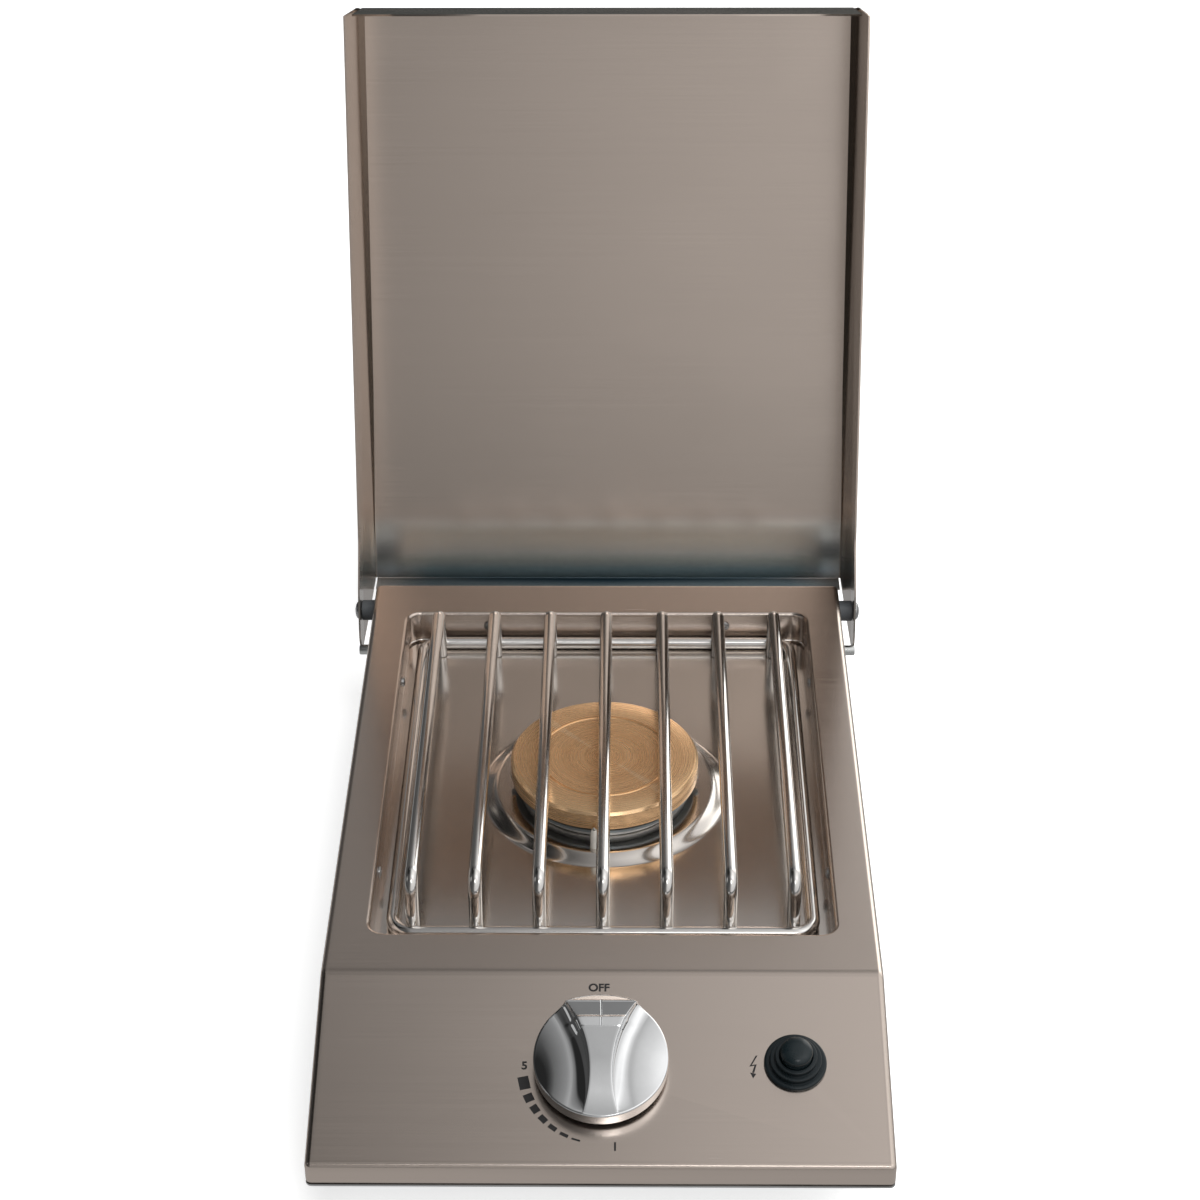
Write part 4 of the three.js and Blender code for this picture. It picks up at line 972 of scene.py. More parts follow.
@dataclass(frozen=True)
class Layout:
    """Sizes that several sub-assemblies share."""

    sheet: float = 1.2
    gap: float = 0.3
    deck_width: float = 317.5
    side_margin: float = 24.75
    recess_length: float = 325.0
    recess_corner: float = 9.0
    rear_margin: float = 36.0
    front_margin: float = 32.7
    recess_depth: float = 23.0
    panel_length: float = 120.4
    panel_slope: float = math.radians(17.34)
    lip_height: float = 12.6
    counter: float = 36.0
    plateau: float = 4.0
    electrode: tuple[float, float] = (-6.0, -61.9)
    knob_along: float = 60.2
    igniter_along: float = 58.0
    igniter_inset: float = 52.15

    @property
    def half_deck(self) -> float:
        """Half the deck's width."""
        return self.deck_width / 2

    @property
    def half_recess_x(self) -> float:
        """Half the recess' width."""
        return self.half_deck - self.side_margin

    @property
    def half_recess_y(self) -> float:
        """Half the recess' length."""
        return self.recess_length / 2

    @property
    def lip_bottom(self) -> float:
        """Height of the skirts' lower edge."""
        return self.counter + self.sheet + self.gap

    @property
    def lip_top(self) -> float:
        """Height of the panel's front edge."""
        return self.lip_bottom + self.lip_height

    @property
    def deck_top(self) -> float:
        """Height of the deck."""
        return self.lip_top + self.panel_length * math.sin(self.panel_slope)

    @property
    def rear(self) -> float:
        """Back edge of the deck."""
        return self.half_recess_y + self.rear_margin

    @property
    def bend(self) -> float:
        """Line where the panel starts to slope."""
        return -self.half_recess_y - self.front_margin

    @property
    def lip(self) -> float:
        """Front face of the lip."""
        return self.bend - self.panel_length * math.cos(self.panel_slope)

    @property
    def floor(self) -> float:
        """Top of the pan's floor."""
        return self.deck_top - self.recess_depth

    def recess_loop(self, offset: float, z: float) -> list[Vector]:
        """The recess outline at one height, moved outwards by an offset."""
        return Shapes.frame_loop(self.half_recess_x, self.half_recess_y, self.recess_corner, offset, z)

    def knob_place(self) -> Matrix:
        """The knob's place on the panel."""
        return self.panel_place(0.0, self.knob_along)

    def igniter_place(self) -> Matrix:
        """The igniter's place on the panel."""
        return self.panel_place(self.half_deck - self.igniter_inset, self.igniter_along)

    def panel_place(self, x: float, along: float) -> Matrix:
        """The matrix of a place on the sloped panel: X across, Y up the slope, Z out of the face.

        Args:
            x: distance to the right of the middle.
            along: distance down the slope from the bend.

        Returns:
            The matrix, in millimetres.
        """
        y = self.bend - along * math.cos(self.panel_slope)
        z = self.deck_top - along * math.sin(self.panel_slope)
        return Matrix.Translation((x, y, z)) @ Matrix.Rotation(self.panel_slope, 4, "X")


LAYOUT = Layout()


@dataclass
class TopDeck:
    """The folded and pressed deck sheet."""

    edge_radius: float = 3.5
    bend_radius: float = 16.0
    rolled_edge: float = 2.5
    pan_fillet: float = 3.0
    stem_hole: float = 4.7
    valve_screw_hole: float = 2.2
    valve_screw_x: float = 17.0
    collar_hole: float = 10.8
    flat_frame: float = 1.5
    edge_steps: int = 8
    hole_steps: int = 40

    def centre_line(self) -> list[tuple[float, float, float]]:
        """Centres of the edge rounding from back to front, each with the angle of its normal from +Y."""
        lay = LAYOUT
        r = self.edge_radius
        rows = []
        for k in range(self.edge_steps + 1):
            rows.append((lay.rear - r, lay.deck_top - r, QUARTER * k / self.edge_steps))
        bend_y = lay.bend + self.bend_radius * math.tan(lay.panel_slope / 2)
        reach = self.bend_radius - r
        for k in range(self.edge_steps + 1):
            angle = QUARTER + lay.panel_slope * k / self.edge_steps
            centre_z = lay.deck_top - self.bend_radius
            rows.append((bend_y + reach * math.cos(angle), centre_z + reach * math.sin(angle), angle))
        drop = r * (1 / math.cos(lay.panel_slope) - math.tan(lay.panel_slope))
        for k in range(self.edge_steps + 1):
            angle = QUARTER + lay.panel_slope + (QUARTER - lay.panel_slope) * k / self.edge_steps
            rows.append((lay.lip + r, lay.lip_top - drop, angle))
        return rows

    def side_rows(self, side: int) -> list[list[Vector]]:
        """Rows of one side, from the skirt's lower edge over the rounded edge to the flat top.

        Args:
            side: -1 for left and 1 for right.

        Returns:
            One row for each place on the centre line, with the lower edges at both ends.
        """
        lay = LAYOUT
        x = side * (lay.half_deck - self.edge_radius)
        rows = []
        for y, z, angle in self.centre_line():
            normal = Y_AXIS * math.cos(angle) + Z_AXIS * math.sin(angle)
            centre = Vector((x, y, z))
            arc = Shapes.arc(centre, X_AXIS * side, normal, self.edge_radius, 0.0, QUARTER, self.edge_steps)
            foot = Vector((arc[0].x, arc[0].y, lay.lip_bottom))
            rows.append([foot, *arc])
        first, last = ([Vector((point.x, point.y, lay.lip_bottom)) for point in row]
                       for row in (rows[0], rows[-1]))
        return [first, *rows, last]

    def walls(self) -> list[list[Vector]]:
        """Loops from the mouth over the rolled edge down to the pan."""
        lay, r = LAYOUT, self.rolled_edge
        section = Shapes.curve(r, lay.deck_top - r, -r, r, self.edge_steps)[::-1]
        section.append((0.0, lay.floor + self.pan_fillet - lay.sheet + lay.gap))
        return [lay.recess_loop(offset, z) for offset, z in section]

    def panel_holes(self) -> list[list[Vector]]:
        """The holes of the sloped panel for stem, valve screws and igniter."""
        knob, igniter = LAYOUT.knob_place(), LAYOUT.igniter_place()
        places = [
            (knob, 0.0, self.stem_hole),
            (knob, -self.valve_screw_x, self.valve_screw_hole),
            (knob, self.valve_screw_x, self.valve_screw_hole),
            (igniter, 0.0, self.collar_hole),
        ]
        holes = []
        for matrix, x, radius in places:
            ring = Shapes.circle(Vector((x, 0.0, 0.0)), X_AXIS, Y_AXIS, radius, self.hole_steps)
            holes.append([matrix @ point for point in ring])
        return holes

    def inset(self, quad: Sequence[Vector]) -> list[Vector]:
        """A four-sided face's corners moved inwards by the flat frame's width."""
        moved = []
        for k, corner in enumerate(quad):
            for neighbour in (quad[k - 1], quad[(k + 1) % len(quad)]):
                corner = corner + (neighbour - quad[k]).normalized() * self.flat_frame
            moved.append(corner)
        return moved

    def build(self) -> bpy.types.Object:
        """Builds the deck and returns its piece."""
        left, right = self.side_rows(-1), self.side_rows(1)
        skin = Skin().loft(left).loft(right)
        rear_top = self.edge_steps + 1
        bend_start = rear_top + 1
        bend_end = bend_start + self.edge_steps
        walls = self.walls()
        holes = {rear_top: [walls[0]], bend_end: self.panel_holes()}
        for k in range(len(left) - 1):
            quad = [left[k][-1], left[k + 1][-1], right[k + 1][-1], right[k][-1]]
            if k in holes:
                inner = self.inset(quad)
                skin.loft([quad, inner], around=True).plate([inner, *holes[k]])
            else:
                skin.cap(quad)
        skin.loft(walls, around=True)
        deck = Bench.piece("deck_sheet", skin, Body.BASE, Slot.STAINLESS, Finishes.stainless, ["top_deck"],
                           smooth=40.0)
        Bench.thicken(deck, LAYOUT.sheet)
        return deck


@dataclass
class LowerCase:
    """The vented box that hangs in the counter, with its rim."""

    front_setback: float = 35.0
    rear_setback: float = 18.0
    side_setback: float = 18.75
    corner: float = 8.0
    rim_corner: float = 3.5
    foot_radius: float = 1.0
    slot_count: int = 7
    slot_length: float = 16.0
    slot_width: float = 4.0
    slot_corner: float = 1.8
    slot_pitch: float = 30.0
    inlet_radius: float = 6.65
    inlet_height: float = 26.0
    inlet_y: float = -243.48
    corner_steps: int = 10
    foot_steps: int = 4

    def outline(self, inset: float, z: float) -> list[Vector]:
        """The box outline at one height.

        Args:
            inset: how far inside the outer face.
            z: height.

        Returns:
            The loop's points.
        """
        half_y = (LAYOUT.rear - self.rear_setback - LAYOUT.lip - self.front_setback) / 2
        loop = Shapes.frame_loop(self.half_x, half_y, self.corner, -inset, z, self.corner_steps)
        return [point + Y_AXIS * self.middle for point in loop]

    @property
    def half_x(self) -> float:
        """Half the box's width."""
        return LAYOUT.half_deck - self.side_setback

    @property
    def middle(self) -> float:
        """The box's middle along Y."""
        return (LAYOUT.rear - self.rear_setback + LAYOUT.lip + self.front_setback) / 2

    def wall_holes(self, side: int) -> list[list[Vector]]:
        """The vent slots of one side wall, and the inlet hole on the left.

        Args:
            side: -1 for left and 1 for right.

        Returns:
            Loops in the plane of the wall.
        """
        x = side * self.half_x
        half_long, half_high = self.slot_length / 2, self.slot_width / 2
        corners = [(half_long * a, half_high * b, self.slot_corner) for a, b in CORNERS]
        loops = []
        for k in range(self.slot_count):
            y = self.middle + self.slot_pitch * (k - (self.slot_count - 1) / 2)
            loops.append([Vector((x, y + a, LAYOUT.counter / 2 + b)) for a, b in Shapes.rounded(corners, 5)])
        if side < 0:
            centre = Vector((x, self.inlet_y, self.inlet_height))
            loops.append(Shapes.circle(centre, Y_AXIS, Z_AXIS, self.inlet_radius, 32))
        return loops

    def build(self) -> bpy.types.Object:
        """Builds the case and returns its piece."""
        lay = LAYOUT
        r, steps = self.foot_radius, self.foot_steps
        foot = [self.outline(inset, z) for inset, z in Shapes.curve(r, r, -r, -r, steps)[::-1]]
        lower, upper = foot[-1], self.outline(0.0, lay.counter)
        skin = Skin().cap(foot[0]).loft(foot, around=True)
        count = len(lower)
        for k in range(count):
            after = (k + 1) % count
            quad = [lower[k], lower[after], upper[after], upper[k]]
            long_side = abs(quad[1].y - quad[0].y) > self.slot_length * self.slot_count
            if long_side:
                skin.plate([quad, *self.wall_holes(1 if quad[0].x > 0 else -1)])
            else:
                skin.cap(quad)
        rim_half_y, rim_middle = (lay.rear - lay.lip) / 2, (lay.rear + lay.lip) / 2
        rim = Shapes.frame_loop(lay.half_deck, rim_half_y, self.rim_corner, 0.0, lay.counter,
                                self.corner_steps)
        skin.plate([[point + Y_AXIS * rim_middle for point in rim], upper])
        case = Bench.piece("case_box", skin, Body.BASE, Slot.CASE, Finishes.case_sheet, ["lower_case"],
                           smooth=40.0)
        Bench.thicken(case, lay.sheet)
        return case


@dataclass
class BurnerPan:
    """The polished tray under the grate, with a plateau pressed up round the burner."""

    flange_height: float = 18.0
    fillet: float = 3.0
    slope_inner: float = 66.0
    slope_outer: float = 78.0
    hole: float = 25.2
    electrode_hole: float = 2.65
    round_steps: int = 160
    slope_steps: int = 14
    fillet_steps: int = 6

    def build(self) -> bpy.types.Object:
        """Builds the pan and returns its piece."""
        lay = LAYOUT
        bottom_z = lay.floor
        flange, radius = lay.sheet + lay.gap, self.fillet - lay.sheet
        section = [(flange, bottom_z + self.flange_height)]
        section += Shapes.curve(flange - radius, bottom_z + radius, radius, -radius, self.fillet_steps)
        skin = Skin().loft([lay.recess_loop(offset, z) for offset, z in section], around=True)
        outer = lay.recess_loop(section[-1][0], bottom_z)
        rings = [Shapes.ring(self.slope_outer + lay.sheet, bottom_z, self.round_steps)]
        skin.plate([outer, rings[0]])
        for k in range(self.slope_steps + 1):
            share = k / self.slope_steps
            lift = lay.plateau * (1 - math.cos(math.pi * share)) / 2
            radius = self.slope_outer + (self.slope_inner - self.slope_outer) * share
            rings.append(Shapes.ring(radius, bottom_z + lift, self.round_steps))
        skin.loft(rings, around=True)
        plateau_z = bottom_z + lay.plateau
        x, y = lay.electrode
        skin.plate([
            rings[-1],
            Shapes.ring(self.hole, plateau_z, self.round_steps // 2),
            Shapes.circle(Vector((x, y, plateau_z)), X_AXIS, Y_AXIS, self.electrode_hole, 24),
        ])
        pan = Bench.piece("pan_tray", skin, Body.BASE, Slot.POLISHED, Finishes.pan, ["burner_pan"],
                          smooth=50.0)
        Bench.thicken(pan, lay.sheet, inward=Bench.looks(pan, Z_AXIS))
        return pan


@dataclass
class PanScrews:
    """Six screws through the recess walls into the pan's flange."""

    drop: float = 10.0
    side_y: float = 97.0
    rear_x: float = 80.0
    head_radius: float = 3.2
    head_height: float = 1.5
    rim_share: float = 0.35
    shank_radius: float = 1.9
    length: float = 7.0
    point: float = 0.6
    slot_width: float = 0.9
    slot_reach: float = 1.9
    slot_depth: float = 0.9
    slot_taper: float = 0.55

    def places(self) -> dict[str, tuple[float, float, float]]:
        """Node names with the wall point and the outward direction's angle."""
        x, y = LAYOUT.half_recess_x, LAYOUT.half_recess_y
        return {
            "pan_screw_left_rear": (-x, self.side_y, math.pi),
            "pan_screw_left_front": (-x, -self.side_y, math.pi),
            "pan_screw_right_rear": (x, self.side_y, 0.0),
            "pan_screw_right_front": (x, -self.side_y, 0.0),
            "pan_screw_rear_left": (-self.rear_x, y, QUARTER),
            "pan_screw_rear_right": (self.rear_x, y, QUARTER),
        }

    def blank(self) -> Skin:
        """A screw whose head looks down -Z, with its seat at Z zero."""
        gap, rim, point = LAYOUT.gap, self.head_height * self.rim_share, self.point
        profile = Shapes.curve(0.0, -gap - rim, self.head_radius, rim - self.head_height, 8)[::-1]
        profile[0] = (0.0, profile[0][1])
        profile += [(self.head_radius, -gap), (self.shank_radius, -gap),
                    (self.shank_radius, self.length - point), (self.shank_radius - point, self.length),
                    (0.0, self.length)]
        return Shapes.lathe(profile, 40)

    def recess(self) -> Skin:
        """The cross recess that is cut into the head."""
        half, reach = self.slot_width / 2, self.slot_reach
        outline = []
        for quarter in range(4):
            turn = Matrix.Rotation(QUARTER * quarter, 2)
            outline.extend(turn @ Vector(corner) for corner in ((half, half), (half, reach), (-half, reach)))
        top = -self.head_height - LAYOUT.gap
        low = [Vector((x, y, top - 1.0)) for x, y in outline]
        high = [Vector((x * self.slot_taper, y * self.slot_taper, top + self.slot_depth)) for x, y in outline]
        return Skin().loft([low, high], around=True).cap(low).cap(high)

    def build(self) -> None:
        """Builds the six screws."""
        for node, (x, y, angle) in self.places().items():
            place = Matrix.Translation((x, y, LAYOUT.deck_top - self.drop))
            place = place @ Matrix.Rotation(angle, 4, "Z") @ Matrix.Rotation(QUARTER, 4, "Y")
            name = node.replace("pan_screw", "tray_screw")
            screw = Bench.piece(name, self.blank().moved(place), Body.BASE, Slot.ZINC, Finishes.screw_steel,
                                [node])
            Bench.cut(screw, self.recess().moved(place))


@dataclass
class Grate:
    """The loose grate of bent rods."""

    rod_radius: float = 4.0
    rod_count: int = 7
    side_gap: float = 10.5
    rod_inset: float = 11.9
    bend_radius: float = 10.0
    rise: float = 17.0
    rear_y: float = 154.5
    front_y: float = -141.5
    corner: float = 12.0
    bend_steps: int = 14
    around: int = 32
    weld_radius: float = 1.9
    weld_reach: float = 0.8
    weld_ends: float = 0.55
    weld_spread: float = 1.25
    weld_steps: int = 8

    @property
    def half_width(self) -> float:
        """From the middle to the ring's side rods."""
        return LAYOUT.half_recess_x - self.side_gap

    @property
    def foot(self) -> float:
        """Height of the rods' lower ends."""
        return LAYOUT.floor + LAYOUT.gap

    def rod_places(self) -> list[float]:
        """X of each rod."""
        pitch = 2 * (self.half_width - self.rod_inset) / (self.rod_count - 1)
        return [pitch * (k - (self.rod_count - 1) / 2) for k in range(self.rod_count)]

    def ring(self) -> Skin:
        """The closed ring rod."""
        half_y = (self.rear_y - self.front_y) / 2
        middle = (self.rear_y + self.front_y) / 2
        rows = []
        for k in range(self.around):
            angle = FULL_TURN * k / self.around
            offset = self.rod_radius * math.cos(angle)
            z = self.foot + self.rod_radius + self.rod_radius * math.sin(angle)
            loop = Shapes.frame_loop(self.half_width, half_y, self.corner, offset, z, self.bend_steps)
            rows.append([point + Y_AXIS * middle for point in loop])
        return Skin().loft(rows, around=True, along=True)

    def rod(self, x: float) -> Skin:
        """One bent rod with its welds.

        Args:
            x: its place across the burner.

        Returns:
            The skin.
        """
        inset = 2 * self.rod_radius + LAYOUT.gap
        rear, front = self.rear_y - inset, self.front_y + inset
        top = LAYOUT.deck_top + self.rise - self.rod_radius
        bend_z = top - self.bend_radius
        rear_centre = Vector((x, rear - self.bend_radius, bend_z))
        front_centre = Vector((x, front + self.bend_radius, bend_z))
        route = [Vector((x, rear, self.foot)), Vector((x, rear, self.foot + self.rod_radius))]
        route += Shapes.arc(rear_centre, Y_AXIS, Z_AXIS, self.bend_radius, 0.0, QUARTER, self.bend_steps)
        route += Shapes.arc(front_centre, Y_AXIS, Z_AXIS, self.bend_radius, QUARTER, math.pi, self.bend_steps)
        route += [Vector((x, front, self.foot + self.rod_radius)), Vector((x, front, self.foot))]
        skin = Shapes.tube(route, X_AXIS, self.rod_radius, self.around)
        for y in (rear + inset / 2, front - inset / 2):
            skin.grow(self.weld(x, y))
        return skin

    def weld(self, x: float, y: float) -> Skin:
        """The bead between a leg and the ring.

        Args:
            x: place across.
            y: place along.

        Returns:
            A short bead that bulges to both rods.
        """
        centre = Vector((x, y, self.foot + self.rod_radius))
        rows = []
        for k in range(self.weld_steps + 1):
            share = k / self.weld_steps
            middle = centre + Z_AXIS * ((share - 0.5) * 2 * self.rod_radius * self.weld_reach)
            waist = self.weld_radius * (self.weld_ends + (1 - self.weld_ends) * math.sin(math.pi * share))
            rows.append(Shapes.circle(middle, X_AXIS * self.weld_spread, Y_AXIS, waist, 16))
        return Skin().loft(rows, around=True).cap(rows[0]).cap(rows[-1])

    def build(self) -> None:
        """Builds the ring and the rods."""
        Bench.piece("ring_rod", self.ring(), Body.GRATE, Slot.POLISHED, Finishes.rod, ["grate_ring"],
                    smooth=60.0)
        for k, x in enumerate(self.rod_places(), start=1):
            Bench.piece(f"bent_rod_{k}", self.rod(x), Body.GRATE, Slot.POLISHED, Finishes.rod,
                        [f"grate_rod_{k}"], smooth=40.0)


@dataclass
class Burner:
    """Head, flame ring, cap and electrode above the pan."""

    head_radius: float = 52.0
    shoulder: float = 5.0
    crown_radius: float = 46.0
    crown_wall: float = 7.0
    port_height: float = 2.6
    port_sill: float = 0.4
    port_width: float = 2.2
    port_count: int = 24
    head_floor: float = 2.4
    neck_radius: float = 24.5
    neck_bore: float = 18.0
    neck_drop: float = 6.0
    ring_radius: float = 56.0
    ring_thickness: float = 1.8
    tab_width: float = 5.0
    tab_reach: float = 2.6
    tab_corner: float = 0.2
    cap_radius: float = 58.5
    cap_height: float = 12.0
    chamfer: float = 1.6
    groove_radius: float = 40.0
    groove_width: float = 2.2
    groove_depth: float = 1.0
    groove_edge: float = 0.3
    groove_fullness: float = 0.8
    groove_steps: int = 10
    spigot_depth: float = 3.6
    spigot_wall: float = 4.0
    cap_plate: float = 4.5
    running_gap: float = 0.35
    edge: float = 0.5
    ceramic_radius: float = 2.3
    tip_radius: float = 1.5
    tip_length: float = 5.0
    ceramic_top: float = -6.0
    ceramic_bottom: float = -28.0
    collar_radius: float = 4.0
    collar_height: float = 3.0
    pin_radius: float = 0.8
    pin_reach: float = 1.6
    pin_tail: float = 3.0

    @property
    def head_bottom(self) -> float:
        """Height of the head's seat on the pan."""
        return LAYOUT.floor + LAYOUT.plateau + LAYOUT.gap

    @property
    def ring_bottom(self) -> float:
        """Height of the flame ring's lower face."""
        return self.head_bottom + self.shoulder + LAYOUT.gap

    @property
    def crown_top(self) -> float:
        """Height of the crown that carries the cap."""
        return self.ring_bottom + self.ring_thickness + self.port_height

    @property
    def cap_bottom(self) -> float:
        """Height of the cap's lower face."""
        return self.crown_top + LAYOUT.gap

    @property
    def cap_top(self) -> float:
        """Height of the cap's upper face."""
        return self.cap_bottom + self.cap_height

    def head(self) -> bpy.types.Object:
        """Builds the ported head."""
        bottom, e = self.head_bottom, self.edge
        shoulder = bottom + self.shoulder
        bore = self.crown_radius - self.crown_wall
        profile = [
            (self.neck_bore, bottom - self.neck_drop), (self.neck_radius, bottom - self.neck_drop),
            (self.neck_radius, bottom), (self.head_radius - e, bottom), (self.head_radius, bottom + e),
            (self.head_radius, shoulder - e), (self.head_radius - e * 0.3, shoulder - e * 0.3),
            (self.head_radius - e, shoulder), (self.crown_radius, shoulder),
            (self.crown_radius, self.crown_top - e), (self.crown_radius - e, self.crown_top),
            (bore + e, self.crown_top), (bore, self.crown_top - e), (bore, bottom + self.head_floor),
            (self.neck_bore, bottom + self.head_floor), (self.neck_bore, bottom - self.neck_drop),
        ]
        head = Bench.piece("ported_head", Shapes.lathe(profile, 144), Body.BASE, Slot.CAST, Finishes.cast,
                           ["burner_head"])
        Bench.cut(head, self.ports())
        return head

    def ports(self) -> Skin:
        """The radial slots of the flame ports."""
        skin = Skin()
        half = self.port_width / 2
        low, high = self.crown_top - self.port_height + self.port_sill, self.crown_top + self.port_height
        section = ((-half, low), (half, low), (half, high), (-half, high))
        ends = (self.crown_radius - 2 * self.crown_wall, self.crown_radius + self.port_width)
        for k in range(self.port_count):
            turn = Matrix.Rotation(FULL_TURN * (k + 0.5) / self.port_count, 4, "Z")
            rows = [[turn @ Vector((radius, y, z)) for y, z in section] for radius in ends]
            skin.grow(Skin().loft(rows, around=True).cap(rows[0]).cap(rows[1]))
        return skin

    def flame_ring(self) -> bpy.types.Object:
        """Builds the flat ring with its two tabs."""
        half, reach = self.tab_width / 2, self.ring_radius + self.tab_reach
        tab_angle = math.asin(half / self.ring_radius)
        broken = self.tab_width * self.tab_corner
        tab = ((reach - broken, -half), (reach, broken - half),
               (reach, half - broken), (reach - broken, half))
        outline = []
        for start in (0.0, math.pi):
            outwards = Vector((math.cos(start), math.sin(start), 0))
            across = Vector((-math.sin(start), math.cos(start), 0))
            outline.extend(outwards * x + across * y for x, y in tab)
            outline.extend(Shapes.arc(Vector(), X_AXIS, Y_AXIS, self.ring_radius, start + tab_angle,
                                      start + math.pi - tab_angle, 72))
        bore = self.crown_radius + LAYOUT.gap
        low, high = ([[point + Z_AXIS * z for point in outline], Shapes.ring(bore, z, 144)]
                     for z in (self.ring_bottom, self.ring_bottom + self.ring_thickness))
        ring = Bench.piece("spreader_ring", Skin().slab(low, high), Body.BASE, Slot.DARK_STEEL,
                           Finishes.heat_coat, ["flame_ring"])
        Bench.soften(ring, 0.25)
        return ring

    def cap(self) -> bpy.types.Object:
        """Builds the turned cap."""
        top, bottom, r, e = self.cap_top, self.cap_bottom, self.cap_radius, self.edge
        spigot = self.crown_radius - self.crown_wall - self.running_gap
        under = top - self.cap_plate
        profile = [(0.0, under), (spigot - self.spigot_wall, under),
                   (spigot - self.spigot_wall, bottom - self.spigot_depth),
                   (spigot, bottom - self.spigot_depth), (spigot, bottom)]
        profile += Shapes.curve(r - e, bottom + e, e, -e, 4)[::-1]
        profile += [(r, top - self.chamfer - 0.3), (r - 0.1, top - self.chamfer),
                    (r - self.chamfer, top - 0.12), (r - self.chamfer - 0.35, top)]
        half, middle, steps = self.groove_width / 2, self.groove_radius, self.groove_steps
        profile.append((middle + half + self.groove_edge, top))
        for k in range(steps + 1):
            angle = math.pi * k / steps
            sunk = self.groove_depth * math.sin(angle) ** self.groove_fullness
            profile.append((middle + half * math.cos(angle), top - sunk))
        profile += [(middle - half - self.groove_edge, top), (0.0, top)]
        return Bench.piece("turned_cap", Shapes.lathe(profile, 192), Body.CAP, Slot.BRASS, Finishes.cap,
                           ["burner_cap"], smooth=24.0)

    def spark(self) -> None:
        """Builds the ceramic insulator and the pin of the electrode."""
        x, y = LAYOUT.electrode
        seat = Matrix.Translation((x, y, LAYOUT.deck_top))
        bore = self.pin_radius + LAYOUT.gap
        collar = LAYOUT.floor + LAYOUT.plateau - LAYOUT.sheet - LAYOUT.gap - LAYOUT.deck_top
        shoulder = self.ceramic_top - self.tip_length
        profile = [
            (bore, self.ceramic_bottom), (self.ceramic_radius - 0.3, self.ceramic_bottom),
            (self.ceramic_radius, self.ceramic_bottom + 0.3),
            (self.ceramic_radius, collar - self.collar_height),
            (self.collar_radius, collar - self.collar_height), (self.collar_radius, collar),
            (self.ceramic_radius, collar), (self.ceramic_radius, shoulder),
            (self.tip_radius + 0.15, self.ceramic_top - 0.4), (self.tip_radius - 0.1, self.ceramic_top),
            (bore, self.ceramic_top), (bore, self.ceramic_bottom),
        ]
        Bench.piece("insulator", Shapes.lathe(profile, 40).moved(seat), Body.BASE, Slot.CERAMIC,
                    Finishes.ceramic, ["electrode_ceramic"])
        top = self.ceramic_top + self.pin_reach
        tail = self.ceramic_bottom - self.pin_tail
        pin = [(0.0, tail), (self.pin_radius, tail), (self.pin_radius, top - 0.4),
               (self.pin_radius * 0.7, top - 0.1), (0.0, top)]
        Bench.piece("spark_pin", Shapes.lathe(pin, 24).moved(seat), Body.BASE, Slot.ZINC, Finishes.zinc,
                    ["electrode_pin"])

    def build(self) -> None:
        """Builds every piece above the pan."""
        self.head()
        self.flame_ring()
        self.cap()
        self.spark()


